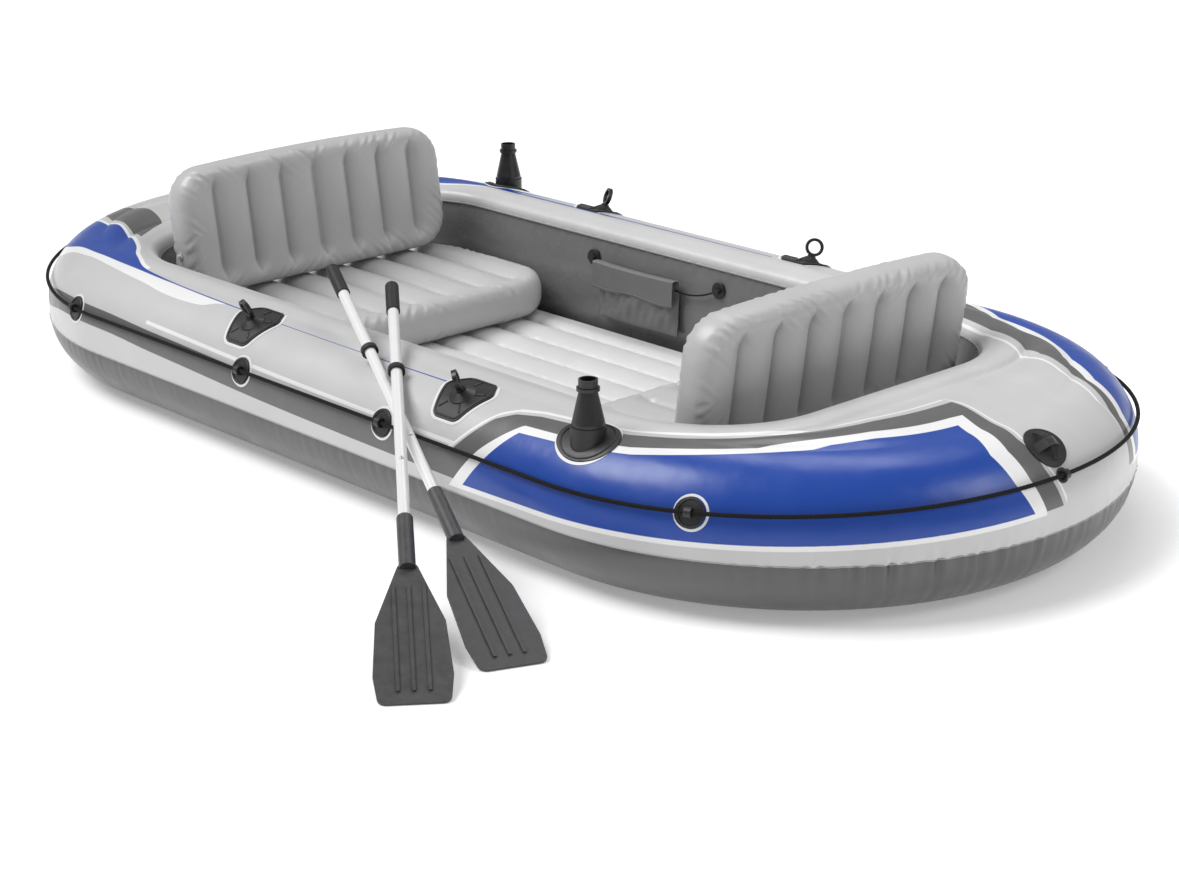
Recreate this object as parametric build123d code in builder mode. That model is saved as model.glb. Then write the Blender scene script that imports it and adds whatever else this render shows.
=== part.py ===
# Inflatable dinghy for four, with its two oars laid over the starboard tube.
#
# Frame: millimetres, +X to the bow, +Y to port, +Z up.  The origin is the middle of the
# underside of the hull, on the ground.
#
# The hull is an air-filled ring of welded sheet.  Seen from above its outside is a stadium,
# two straight sides closed by half circles, and the cockpit is a rounded rectangle.
# Every sheet of the hull is cut out of the same two volumes, the outside of the ring and the
# same ring moved in by the thickness of the sheet.

import os
from math import atan2, cos, degrees, hypot, radians, sin, sqrt, tan

from build123d import *

os.makedirs("parts", exist_ok=True)

# hull
hull_length = 3150
hull_width = 1500
tube_height = 330
shoulder_radius = 150
sheet = 3
seam_height = 140
seam_welt_height = 6
seam_welt_thick = 2
beyond = 50

# cockpit
cockpit_length = 2160
cockpit_width = 1000
cockpit_corner = 260
rim_radius = 30
wall_bulge = 22
wall_bulge_height = 270
wall_bulge_drop = 6
chamber_width = 100
baffle_thick = 2

# floor
floor_sheet_thick = 2
floor_gap = 6
floor_channels = 9
floor_valley = 62
floor_crest = 84
floor_skin = 2.5
beam_thick = 2

# air valves
valve_flange_radius = 28
valve_flange_thick = 2
valve_body_radius = 22
valve_body_height = 9
valve_bore_radius = 14
valve_spigot_depth = 12
valve_cap_thick = 4
valve_cap_gap = 0.4
valve_hinge_reach = 26
valve_hinge_radius = 3
valve_lug_width = 5
valve_pin_radius = 1.3
valve_pin_clearance = 0.3
valve_plug_radius = 12.8
valve_plug_depth = 3.6
main_valve_at = (-1300, 0)
inner_valve_at = (-1144, 90)
floor_valve_x = 300

# patches glued on the shoulder
patch_thick = 3
patch_tilt = 24

# oarlocks
oarlock_bow_x = 487
oarlock_stern_x = -270
oarlock_patch_length = 150
oarlock_patch_width = 132
oarlock_boss_height = 15
oarlock_boss_foot = 30
oarlock_boss_top = 13
ring_outer = 23
ring_bore = 15.5
ring_width = 10
ring_rise = 41
ring_lip = 2
stem_radius = 6
stem_clearance = 0.4
stem_head_radius = 9
stem_head_height = 3
ring_angles = {"starboard_stern": 80, "starboard_bow": 50, "port_stern": 62, "port_bow": -40}

# rod holders
rod_turn = 4.4
rod_patch_length = 150
rod_patch_width = 118
rod_boss_radius = 37
rod_boss_top = 345
rod_cone_foot = 34
rod_cone_waist = 19
rod_cone_neck = 20
rod_collar_radius = 24
rod_bore_radius = 16
rod_cone_height = 98
rod_cone_floor = 6
rod_collar_height = 74
rod_lip = 7

# grab rope and its grommets
rope_diameter = 9
rope_hole_radius = 5.6
grommet_radius = 31
grommet_bridge_length = 15
grommet_bridge_width = 27
grommet_bridge_cover = 5
grommet_bridge_slope = 75
anchor_radius = 16
anchor_length = 12
knot_radius = 8
knot_length = 34

# bow and stern handles
handle_tilt = 36
handle_radius = 49
handle_strap_width = 20
handle_strap_reach = 36
handle_strap_rise = 19
handle_strap_thick = 3

# seats
seat_front = 430
seat_back = 1035
seat_half_width = 464
seat_thick = 110
seat_front_corner = 150
seat_back_corner = 218
seat_round = 40
rest_gap = 0.6
backrest_foot = 850
backrest_width = 850
backrest_height = 340
backrest_thick = 98
backrest_lean = 8
backrest_corner = 90
backrest_round = 38
backrest_lift = 10.5
backrest_valve_up = 112
seat_valve_x = 700
seat_valve_radius = 10
seat_valve_flange = 1.5
seat_valve_stem = 4.5
seat_valve_height = 9

# gear pouch
pouch_centre_x = -150
pouch_width = 300
pouch_height = 150
pouch_thick = 24
pouch_top = 252
pouch_face = 470
pouch_round = 9
flap_drop = 62
flap_thick = 2
pouch_grommet_x = (-335, 125)
pouch_grommet_z = 250
pouch_grommet_radius = 21
pouch_grommet_stand = 11
pouch_eye_rise = 11
pouch_cord_drop = 24
pouch_cord_inset = 8
pouch_cord_diameter = 5

# oars
oar_length = 1380
blade_length = 400
blade_tip_width = 136
blade_width = 152
blade_thick = 5
blade_rib = 4
blade_shoulder = 225
blade_corner = 18
rib_start = 30
rib_length = 300
rib_spacing = 30
rib_width = 7
socket_end = 540
socket_radius = 17
shaft_radius = 12.5
shaft_wall = 1.2
shaft_clearance = 0.2
shaft_start = 440
shaft_joint = 760
swage_length = 70
collar_place = 1050
collar_radius = 19
collar_length = 12
collar_clearance = 0.3
grip_start = 1275
grip_radius = 15.5
grip_cap = 5
button_place = 725
button_radius = 4
button_rise = 3
button_clearance = 0.3
button_head_radius = 6
button_stop_gap = 1
oar_poses = {
    "front": {"tip": (1081.6, -1287.8), "heading": 142.6, "pitch": 18.3},
    "rear": {"tip": (1083.5, -1044.9), "heading": 157.2, "pitch": 19.1},
}

half_straight = (hull_length - hull_width) / 2
shoulder_line = hull_width / 2 - shoulder_radius
shoulder_height = tube_height - shoulder_radius


def finish(piece, name):
    piece.part.label = name
    export_step(piece.part, f"parts/{name}.step")
    return piece.part


def hull_volume(inset, swell=True):
    """The ring of the hull with its whole surface moved inwards by inset."""
    with BuildPart() as volume:
        with BuildSketch(Plane.XY.offset(inset)):
            SlotOverall(hull_length - 2 * inset, hull_width - 2 * inset)
        extrude(amount=tube_height - 2 * inset)
        fillet(volume.faces().filter_by(Axis.Z).edges(), shoulder_radius - inset)
        with BuildSketch(Plane.XY.offset(inset)):
            RectangleRounded(cockpit_length + 2 * inset, cockpit_width + 2 * inset, cockpit_corner + inset)
        extrude(amount=tube_height - 2 * inset, mode=Mode.SUBTRACT)
        rim = volume.faces().sort_by(Axis.Z)[-1].inner_wires()[0]
        fillet(rim.edges(), rim_radius - inset)
        if swell:
            add(wall_swell(inset))
    return volume.part


def wall_swell(inset):
    """The swell of the cockpit wall: a circular segment carried round the cockpit."""
    swell_radius = (wall_bulge**2 + (wall_bulge_height / 2) ** 2) / (2 * wall_bulge)
    middle = tube_height / 2 - wall_bulge_drop
    wall = cockpit_width / 2 + inset
    crown = cockpit_width / 2 - wall_bulge + inset
    half_chord = sqrt((swell_radius - inset) ** 2 - (swell_radius - wall_bulge) ** 2)
    corner_x = cockpit_length / 2 - cockpit_corner
    corner_y = cockpit_width / 2 - cockpit_corner
    with BuildPart() as quarter:
        with BuildSketch(Plane.YZ) as side:
            with BuildLine():
                ThreePointArc((wall, middle - half_chord), (crown, middle), (wall, middle + half_chord))
                Line((wall, middle + half_chord), (wall, middle - half_chord))
            make_face()
        extrude(amount=corner_x)
        with BuildSketch(Plane.YZ.offset(corner_x)):
            add(side.sketch_local)
        revolve(axis=Axis((corner_x, corner_y, 0), (0, 0, 1)), revolution_arc=-90)
        end = cockpit_length / 2 - cockpit_width / 2
        with BuildSketch(Plane.XZ.offset(-corner_y)):
            with BuildLine():
                ThreePointArc((wall + end, middle - half_chord), (crown + end, middle), (wall + end, middle + half_chord))
                Line((wall + end, middle + half_chord), (wall + end, middle - half_chord))
            make_face()
        extrude(amount=corner_y)
        mirror(about=Plane.XZ)
        mirror(about=Plane.YZ)
    return quarter.part


def shoulder_plane(centre_x, heading, tilt, x_dir=None):
    """A plane on the outside of the shoulder.

    The heading is the way the hull faces there, seen from above, about (centre_x, 0), and
    the tilt is how far the surface leans out from level.  Its X runs along the hull.
    """
    out = Vector(cos(radians(heading)), sin(radians(heading)), 0)
    normal = out * sin(radians(tilt)) + Vector(0, 0, cos(radians(tilt)))
    foot = Vector(centre_x, 0, shoulder_height) + out * shoulder_line + normal * shoulder_radius
    along = Vector(-sin(radians(heading)), cos(radians(heading)), 0)
    return Plane(origin=foot, x_dir=x_dir or along, z_dir=normal)


def patch(plane, outline):
    """A patch of sheet that lies on the hull, cut to the outline in the given plane."""
    with BuildPart() as cutter:
        with BuildSketch(plane.offset(-shoulder_radius / 3)):
            add(outline)
        extrude(amount=shoulder_radius / 2)
    with BuildPart() as piece:
        add(patch_layer)
        add(cutter.part, mode=Mode.INTERSECT)
    return piece.part


hull_outside = hull_volume(0)
hull_inside = hull_volume(sheet)


def outer_layer(thick):
    """A layer of the given thickness on the outside and the deck of the hull."""
    with BuildPart() as layer:
        add(hull_volume(-thick, swell=False))
        add(hull_volume(0, swell=False), mode=Mode.SUBTRACT)
    return layer.part


patch_layer = outer_layer(patch_thick)
hull_patched = hull_volume(-patch_thick, swell=False)


# ---------------------------------------------------------------- hull sheets
def hull_sheet(bottom, top, inner):
    """The part of the hull's sheet between two heights, of the cockpit wall or of the rest."""
    with BuildPart() as piece:
        add(hull_outside)
        add(hull_inside, mode=Mode.SUBTRACT)
        with BuildPart(mode=Mode.PRIVATE) as zone:
            with BuildSketch(Plane.XY.offset(bottom)):
                Rectangle(hull_length + 2 * beyond, hull_width + 2 * beyond)
            extrude(amount=top - bottom)
        add(zone.part, mode=Mode.INTERSECT)
        with BuildPart(mode=Mode.PRIVATE) as wall_zone:
            with BuildSketch(Plane.XY):
                RectangleRounded(
                    cockpit_length + 2 * sheet, cockpit_width + 2 * sheet, cockpit_corner + sheet
                )
            extrude(amount=tube_height - rim_radius - sheet)
        add(wall_zone.part, mode=Mode.INTERSECT if inner else Mode.SUBTRACT)
    return piece


inner_wall = hull_sheet(0, tube_height, True)
finish(inner_wall, "hull_inner_wall")

bottom_skin = hull_sheet(0, seam_height, False)
finish(bottom_skin, "hull_bottom_skin")

top_skin = hull_sheet(seam_height, tube_height, False)
with BuildPart() as top_skin_cut:
    add(top_skin.part)
    for valve_at in (main_valve_at, inner_valve_at):
        with Locations((*valve_at, tube_height)):
            Cylinder(valve_bore_radius + sheet, 4 * sheet, mode=Mode.SUBTRACT)
finish(top_skin_cut, "hull_top_skin")

with BuildPart() as seam_welt:
    add(outer_layer(seam_welt_thick))
    with BuildSketch(Plane.XY.offset(seam_height - seam_welt_height / 2)):
        Rectangle(hull_length + 2 * beyond, hull_width + 2 * beyond)
        RectangleRounded(
            cockpit_length + 8 * sheet, cockpit_width + 8 * sheet, cockpit_corner + 4 * sheet, mode=Mode.SUBTRACT
        )
    extrude(amount=seam_welt_height, mode=Mode.INTERSECT)
finish(seam_welt, "hull_seam_welt")

with BuildPart() as baffle:
    with BuildSketch(Plane.XY.offset(sheet)):
        RectangleRounded(
            cockpit_length + 2 * chamber_width, cockpit_width + 2 * chamber_width, cockpit_corner + chamber_width
        )
        offset(amount=-baffle_thick, mode=Mode.SUBTRACT)
    extrude(amount=tube_height - 2 * sheet)
finish(baffle, "hull_chamber_baffle")


# ---------------------------------------------------------------- floor
def floor_outline(shrink):
    """The outline of the floor mattress, moved inwards by shrink."""
    clearance = wall_bulge + floor_gap + shrink
    return RectangleRounded(
        cockpit_length - 2 * clearance, cockpit_width - 2 * clearance, cockpit_corner - clearance
    )


def mattress_volume(shrink):
    """The scalloped mattress with its whole surface moved inwards by shrink."""
    width = cockpit_width - 2 * (wall_bulge + floor_gap)
    pitch = width / floor_channels
    bottom = floor_sheet_thick + shrink
    valley = floor_valley - shrink
    crest = floor_crest - shrink
    with BuildPart() as piece:
        with BuildSketch(Plane.YZ.offset(-cockpit_length / 2)):
            with BuildLine():
                Polyline((-width / 2, valley), (-width / 2, bottom), (width / 2, bottom), (width / 2, valley))
                for channel in range(floor_channels):
                    left = -width / 2 + channel * pitch
                    ThreePointArc((left, valley), (left + pitch / 2, crest), (left + pitch, valley))
            make_face()
        extrude(amount=cockpit_length)
        with BuildSketch(Plane.XY):
            floor_outline(shrink)
        extrude(amount=tube_height, mode=Mode.INTERSECT)
    return piece.part


with BuildPart() as floor_sheet:
    with BuildSketch(Plane.XY):
        RectangleRounded(cockpit_length, cockpit_width, cockpit_corner)
    extrude(amount=floor_sheet_thick)
finish(floor_sheet, "floor_sheet")

mattress_width = cockpit_width - 2 * (wall_bulge + floor_gap)
channel_pitch = mattress_width / floor_channels
floor_valve_at = (floor_valve_x, -4 * channel_pitch)

with BuildPart() as mattress:
    add(mattress_volume(0))
    add(mattress_volume(floor_skin), mode=Mode.SUBTRACT)
    with Locations((*floor_valve_at, floor_crest)):
        Cylinder(valve_bore_radius + sheet, 4 * sheet, mode=Mode.SUBTRACT)
finish(mattress, "floor_mattress")

with BuildPart() as beams:
    with BuildSketch(Plane.XY.offset(floor_sheet_thick + floor_skin)):
        with GridLocations(0, channel_pitch, 1, floor_channels - 1):
            Rectangle(cockpit_length, beam_thick)
    extrude(amount=floor_valley - floor_sheet_thick - 2 * floor_skin)
    with BuildSketch(Plane.XY):
        floor_outline(floor_skin)
    extrude(amount=tube_height, mode=Mode.INTERSECT)
finish(beams, "floor_beams")


# ---------------------------------------------------------------- air valves
def air_valve(name, foot):
    """A valve with a bore, standing on the sheet at foot, and its hinged cap."""
    seat = Plane(origin=foot)
    cap_bottom = valve_body_height + valve_cap_gap
    hinge_height = cap_bottom + valve_hinge_radius
    hinge_side = Plane(origin=seat.origin + Vector(-valve_hinge_reach, 0, hinge_height), z_dir=(0, 1, 0))
    ear_width = valve_lug_width
    lug_y = valve_lug_width + valve_cap_gap
    with BuildPart() as body:
        with BuildSketch(seat):
            Circle(valve_flange_radius)
        extrude(amount=valve_flange_thick)
        with BuildSketch(seat.offset(-valve_spigot_depth)):
            Circle(valve_bore_radius + sheet)
        extrude(amount=valve_spigot_depth)
        with BuildSketch(seat):
            Circle(valve_body_radius)
        extrude(amount=valve_body_height)
        with BuildSketch(seat):
            with Locations((-valve_hinge_reach, lug_y), (-valve_hinge_reach, -lug_y)):
                Rectangle(2 * valve_hinge_radius, valve_lug_width)
        extrude(amount=hinge_height + valve_hinge_radius)
        with BuildSketch(seat.offset(-valve_spigot_depth)):
            Circle(valve_bore_radius)
        extrude(amount=valve_spigot_depth + valve_body_height, mode=Mode.SUBTRACT)
        with BuildSketch(hinge_side):
            Circle(valve_pin_radius + valve_pin_clearance)
        extrude(amount=valve_flange_radius, both=True, mode=Mode.SUBTRACT)
    finish(body, f"{name}_valve_body")
    with BuildPart() as cap:
        with BuildSketch(seat.offset(cap_bottom)):
            Circle(valve_body_radius)
            with Locations((-valve_hinge_reach / 2 - valve_body_radius / 2, 0)):
                Rectangle(valve_hinge_reach - valve_body_radius + 2 * valve_cap_thick, ear_width)
        extrude(amount=valve_cap_thick)
        with BuildSketch(seat.offset(cap_bottom - valve_plug_depth)):
            Circle(valve_plug_radius)
        extrude(amount=valve_plug_depth)
        with BuildSketch(hinge_side):
            Circle(valve_hinge_radius)
        extrude(amount=ear_width / 2, both=True)
        with BuildSketch(hinge_side):
            Circle(valve_pin_radius)
        extrude(amount=lug_y + valve_lug_width / 2, both=True)
    finish(cap, f"{name}_valve_cap")


air_valve("main", (*main_valve_at, tube_height))
air_valve("inner", (*inner_valve_at, tube_height))
air_valve("floor", (*floor_valve_at, floor_crest))


# ---------------------------------------------------------------- oarlocks
def trimmed_boss(solid):
    """A solid with the patched hull cut away, so that it stands on its patch."""
    with BuildPart() as piece:
        add(solid)
        add(hull_patched, mode=Mode.SUBTRACT)
    return piece.part


def oarlock(name, centre_x, heading):
    """A moulded base on its patch, and the ring that swivels in it."""
    seat = shoulder_plane(centre_x, heading, patch_tilt)
    half = oarlock_patch_length / 2
    depth = oarlock_patch_width / 2
    with BuildSketch() as outline:
        with BuildLine():
            Polyline(
                (-half, depth / 3), (-half / 2, depth), (half / 2, depth), (half, depth / 3),
                (half / 2, -depth), (-half / 2, -depth), close=True,
            )
        make_face()
        fillet(outline.vertices(), oarlock_patch_width / 6)
    side = Plane(origin=seat.origin, x_dir=seat.x_dir, z_dir=-seat.y_dir)
    axis = Axis(seat.origin, seat.z_dir)
    head_floor = patch_thick + stem_clearance
    head_roof = head_floor + stem_head_height + 2 * stem_clearance
    with BuildPart() as boss:
        with BuildSketch(side):
            with BuildLine():
                Polyline(
                    (0, -patch_thick), (oarlock_boss_foot, -patch_thick), (oarlock_boss_foot, patch_thick),
                    (oarlock_boss_top, oarlock_boss_height), (0, oarlock_boss_height), close=True,
                )
            make_face()
        revolve(axis=axis)
    with BuildPart() as base:
        add(patch(seat, outline.sketch))
        add(trimmed_boss(boss.part))
        with BuildSketch(seat.offset(head_floor)):
            Circle(stem_head_radius + stem_clearance)
        extrude(amount=head_roof - head_floor, mode=Mode.SUBTRACT)
        with BuildSketch(seat.offset(head_floor)):
            Circle(stem_radius + stem_clearance)
        extrude(amount=oarlock_boss_height, mode=Mode.SUBTRACT)
    finish(base, f"oarlock_base_{name}")

    turned = radians(ring_angles[name])
    bore_way = seat.x_dir * cos(turned) + seat.y_dir * sin(turned)
    ring_plane = Plane(origin=seat.origin + seat.z_dir * ring_rise, x_dir=seat.z_dir, z_dir=bore_way)
    flange_foot = oarlock_boss_height + stem_clearance
    with BuildPart() as ring:
        with BuildSketch(ring_plane):
            Circle(ring_outer)
        extrude(amount=ring_width / 2, both=True)
        with BuildSketch(seat.offset(head_floor + stem_clearance)):
            Circle(stem_radius)
        extrude(amount=ring_rise - ring_bore - 2 * ring_lip - head_floor)
        with BuildSketch(seat.offset(head_floor + stem_clearance)):
            Circle(stem_head_radius)
        extrude(amount=stem_head_height)
        with BuildSketch(seat.offset(flange_foot)):
            Circle(oarlock_boss_top - 2)
        extrude(amount=ring_rise - ring_outer - flange_foot + 1)
        with BuildSketch(ring_plane):
            Circle(ring_bore)
        extrude(amount=ring_outer, both=True, mode=Mode.SUBTRACT)
        lips = ring.edges().filter_by(GeomType.CIRCLE).filter_by(
            lambda edge: round(edge.radius - ring_bore) == 0 and edge.length > ring_bore
        )
        fillet(lips, ring_lip)
    finish(ring, f"oarlock_ring_{name}")


oarlock("starboard_stern", oarlock_stern_x, -90)
oarlock("starboard_bow", oarlock_bow_x, -90)
oarlock("port_bow", -oarlock_stern_x, 90)
oarlock("port_stern", -oarlock_bow_x, 90)


# ---------------------------------------------------------------- rod holders
def rod_holder(name, end):
    """A base with a level top on its patch, and the upright tapered cup."""
    heading = rod_turn - 90 * end
    seat = shoulder_plane(end * half_straight, heading, patch_tilt)
    with BuildSketch() as outline:
        Ellipse(rod_patch_length / 2, rod_patch_width / 2)
    foot = Plane(origin=(seat.origin.X, seat.origin.Y, rod_boss_top))
    with BuildPart() as boss:
        with BuildSketch(foot):
            Circle(rod_boss_radius)
        extrude(amount=-shoulder_radius / 2)
    with BuildPart() as base:
        add(patch(seat, outline.sketch))
        add(trimmed_boss(boss.part))
    finish(base, f"rod_holder_base_{name}")
    side = Plane(origin=foot.origin, x_dir=(1, 0, 0), z_dir=(0, -1, 0))
    with BuildPart() as cup:
        with BuildSketch(side):
            with BuildLine():
                Polyline(
                    (rod_bore_radius, rod_cone_floor), (0, rod_cone_floor), (0, 0), (rod_cone_foot, 0),
                    (rod_cone_foot, rod_lip), (rod_cone_waist, rod_collar_height),
                    (rod_collar_radius, rod_collar_height), (rod_collar_radius, rod_collar_height + rod_lip),
                    (rod_cone_neck, rod_collar_height + rod_lip), (rod_cone_neck, rod_cone_height),
                    (rod_bore_radius, rod_cone_height), close=True,
                )
            make_face()
        revolve(axis=Axis(foot.origin, (0, 0, 1)))
    finish(cup, f"rod_holder_cup_{name}")


rod_holder("starboard", 1)
rod_holder("port", -1)


# ---------------------------------------------------------------- grab rope
# The rope runs from the knot at the stern round to the bow, once to each side.
# Each bend is at a heading from the hull's end, a reach past the hull's half width and a height.
rope_bends = ((11.24, 4.47, 255), (33.77, 9.12, 248), (56.27, 13.56, 241), (78.75, 13.68, 234))
rope_end_reach = -10
rope_start_side = 17
grommet_shares = (0.265, 0.4445, 0.5751, 0.7943)


def rope_bend(end, heading, reach, height):
    out = hull_width / 2 + reach
    return (end * (half_straight + out * cos(radians(heading))), -out * sin(radians(heading)), height)


rope_tip = half_straight + hull_width / 2 + rope_end_reach
rope_points = [
    (-rope_tip, -rope_start_side, rope_bends[0][2]),
    *(rope_bend(-1, *bend) for bend in rope_bends),
    *(rope_bend(1, *bend) for bend in reversed(rope_bends)),
    (rope_tip, 0, rope_bends[0][2]),
]


bend_share = 0.45


def bend_radii(points):
    """The largest arcs that the runs of a cord leave room for."""
    corners = [Vector(*point) for point in points]
    radii = []
    for before, here, after in zip(corners, corners[1:], corners[2:]):
        first, second = here - before, after - here
        half_turn = radians(first.get_angle(second) / 2)
        radii.append(bend_share * min(first.length, second.length) / tan(half_turn))
    return radii


def cord_tube(path, diameter):
    with BuildPart() as tube:
        with BuildSketch(Plane(origin=path @ 0, z_dir=path % 0)):
            Circle(diameter / 2)
        sweep(path=path)
    return tube


rope_radii = bend_radii(rope_points)
rope_path = FilletPolyline(*rope_points, radius=rope_radii)
rope_starboard = cord_tube(rope_path, rope_diameter)
print("length of a side of the grab rope", round(rope_path.length))
finish(rope_starboard, "grab_rope_starboard")

with BuildPart() as rope_port:
    add(mirror(rope_starboard.part, about=Plane.XZ))
finish(rope_port, "grab_rope_port")

with BuildPart() as knot:
    with BuildSketch(Plane(origin=rope_path @ 0, z_dir=(0, 1, 0))):
        Circle(knot_radius)
    extrude(amount=knot_length)
    fillet(knot.edges(), knot_radius / 2 - 1)
finish(knot, "grab_rope_knot")


def rope_eye(point, way, radius, bridge_length):
    """A round patch with a moulded bridge that the rope passes through at point."""
    centre_x = max(-half_straight, min(half_straight, point.X))
    out = hypot(point.X - centre_x, point.Y)
    heading = degrees(atan2(point.Y, point.X - centre_x))
    rise = hypot(out - shoulder_line, point.Z - shoulder_height) - shoulder_radius
    seat = shoulder_plane(centre_x, heading, degrees(atan2(out - shoulder_line, point.Z - shoulder_height)))
    with BuildSketch() as outline:
        Circle(radius)
    side = Plane(origin=seat.origin, x_dir=seat.y_dir, z_dir=seat.x_dir)
    cover = rope_hole_radius + grommet_bridge_cover
    with BuildPart() as bridge:
        with BuildSketch(side):
            with Locations((0, rise)):
                Circle(cover)
            Trapezoid(min(grommet_bridge_width, 2 * radius), 2 * rise, grommet_bridge_slope)
        extrude(amount=bridge_length / 2, both=True)
    with BuildPart() as eye:
        add(patch(seat, outline.sketch))
        add(trimmed_boss(bridge.part))
        with BuildSketch(Plane(origin=point, z_dir=way)):
            Circle(rope_hole_radius)
        extrude(amount=radius, both=True, mode=Mode.SUBTRACT)
    return eye.part


with BuildPart() as grommets_starboard:
    for share in grommet_shares:
        add(rope_eye(rope_path @ share, rope_path % share, grommet_radius, grommet_bridge_length))
finish(grommets_starboard, "rope_grommets_starboard")

with BuildPart() as grommets_port:
    add(mirror(grommets_starboard.part, about=Plane.XZ))
finish(grommets_port, "rope_grommets_port")

with BuildPart() as anchor_bow:
    add(rope_eye(rope_path @ 1, Vector(0, 1, 0), anchor_radius, anchor_length))
finish(anchor_bow, "rope_anchor_bow")


# ---------------------------------------------------------------- bow and stern handles
def handle(name, centre_x, heading):
    """A round patch with a webbing strap arched over it."""
    seat = shoulder_plane(centre_x, heading, handle_tilt)
    with BuildSketch() as outline:
        Circle(handle_radius)
    with BuildPart() as pad:
        add(patch(seat, outline.sketch))
    finish(pad, f"handle_patch_{name}")
    side = Plane(origin=seat.origin, x_dir=seat.x_dir, z_dir=-seat.y_dir)
    reach, rise = handle_strap_reach, handle_strap_rise
    inner_reach, inner_rise = reach - handle_strap_thick, rise - handle_strap_thick
    with BuildPart() as arch:
        with BuildSketch(side):
            with BuildLine():
                ThreePointArc((-reach, 0), (0, rise), (reach, 0))
                Line((reach, 0), (inner_reach, 0))
                ThreePointArc((inner_reach, 0), (0, inner_rise), (-inner_reach, 0))
                Line((-inner_reach, 0), (-reach, 0))
            make_face()
        extrude(amount=handle_strap_width / 2, both=True)
    with BuildPart() as strap:
        add(trimmed_boss(arch.part))
    finish(strap, f"handle_strap_{name}")


handle("bow", half_straight, 0)
handle("stern", -half_straight, 180)


# ---------------------------------------------------------------- seats
seat_bottom = floor_crest + rest_gap
seat_top = seat_bottom + seat_thick


def oral_valve(plane):
    """A small blow-in valve that stands on the plane."""
    with BuildPart() as valve:
        with BuildSketch(plane):
            Circle(seat_valve_radius)
        extrude(amount=seat_valve_flange)
        with BuildSketch(plane):
            Circle(seat_valve_stem)
        extrude(amount=seat_valve_height)
        fillet(valve.faces().sort_by(Axis(plane.origin, plane.z_dir))[-1].edges(), 1.5)
    return valve


def seat(name, end):
    """A cushion across the cockpit and the backrest hinged on it; end is 1 at the bow."""
    with BuildPart() as cushion:
        with BuildSketch(Plane.XY.offset(seat_bottom)) as outline:
            with Locations((end * (seat_front + seat_back) / 2, 0)):
                Rectangle(seat_back - seat_front, 2 * seat_half_width)
            fillet(outline.vertices().group_by(Axis.X)[-1 if end > 0 else 0], seat_back_corner)
            fillet(outline.vertices().group_by(Axis.X)[0 if end > 0 else -1], seat_front_corner)
        extrude(amount=seat_thick)
        fillet(cushion.faces().filter_by(Axis.Z).edges(), seat_round)
    finish(cushion, f"seat_cushion_{name}")

    lean = radians(backrest_lean)
    up = Vector(end * sin(lean), 0, cos(lean))
    away = Vector(end * cos(lean), 0, -sin(lean))
    foot = Vector(end * backrest_foot, 0, seat_top + backrest_lift)
    face = Plane(origin=foot, x_dir=(0, end, 0), z_dir=away)
    with BuildPart() as backrest:
        with BuildSketch(face):
            with Locations((0, backrest_height / 2)):
                RectangleRounded(backrest_width, backrest_height, backrest_corner)
        extrude(amount=backrest_thick)
        flats = backrest.faces().sort_by(Axis((0, 0, 0), away))
        fillet(flats[0].edges() + flats[-1].edges(), backrest_round)
    finish(backrest, f"backrest_{name}")

    cushion_side = Plane(
        origin=(end * seat_valve_x, end * seat_half_width, seat_bottom + seat_thick / 2), z_dir=(0, end, 0)
    )
    finish(oral_valve(cushion_side), f"seat_valve_{name}")
    backrest_end = Plane(
        origin=foot + up * backrest_valve_up + away * backrest_thick / 2 + Vector(0, end * backrest_width / 2, 0),
        z_dir=(0, end, 0),
    )
    finish(oral_valve(backrest_end), f"backrest_valve_{name}")


seat("stern", -1)
seat("bow", 1)


# ---------------------------------------------------------------- gear pouch
with BuildPart() as pouch:
    with BuildSketch(Plane.XZ.offset(-pouch_face)):
        with Locations((pouch_centre_x, pouch_top - pouch_height / 2)):
            RectangleRounded(pouch_width, pouch_height, 2 * pouch_round)
    extrude(amount=pouch_thick)
    fillet(pouch.faces().sort_by(Axis.Y)[0].edges(), pouch_round)
finish(pouch, "pouch_bag")

with BuildPart() as flap:
    with BuildSketch(Plane.YZ.offset(pouch_centre_x)):
        with BuildLine():
            front = pouch_face - pouch_thick - flap_thick
            Polyline(
                (pouch_face, pouch_top), (pouch_face, pouch_top + flap_thick), (front, pouch_top + flap_thick),
                (front, pouch_top - flap_drop), (front + flap_thick, pouch_top - flap_drop),
                (front + flap_thick, pouch_top), close=True,
            )
        make_face()
    extrude(amount=pouch_width / 2, both=True)
finish(flap, "pouch_flap")

eye_face = pouch_face + pouch_grommet_stand
with BuildPart() as pouch_grommets:
    with BuildSketch(Plane.XZ.offset(-eye_face)):
        with Locations(*((x, pouch_grommet_z) for x in pouch_grommet_x)):
            Circle(pouch_grommet_radius)
    extrude(amount=-3 * pouch_grommet_radius)
    add(hull_outside, mode=Mode.SUBTRACT)
    with BuildSketch(Plane.XZ.offset(-eye_face)):
        with Locations(*((x, pouch_grommet_z) for x in pouch_grommet_x)):
            SlotOverall(2 * pouch_eye_rise, pouch_eye_rise)
    extrude(amount=pouch_eye_rise)
finish(pouch_grommets, "pouch_grommets")

with BuildPart() as pouch_cords:
    for x, side in zip(pouch_grommet_x, (-1, 1)):
        start = Vector(x, eye_face - pouch_eye_rise / 2, pouch_grommet_z)
        stop = Vector(
            pouch_centre_x + side * (pouch_width / 2 - pouch_cord_inset),
            pouch_face - pouch_cord_inset,
            pouch_top - pouch_cord_drop,
        )
        with BuildSketch(Plane(origin=start, z_dir=stop - start)):
            Circle(pouch_cord_diameter / 2)
        extrude(amount=(stop - start).length)
    add([pouch.part, pouch_grommets.part], mode=Mode.SUBTRACT)
finish(pouch_cords, "pouch_cords")


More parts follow.
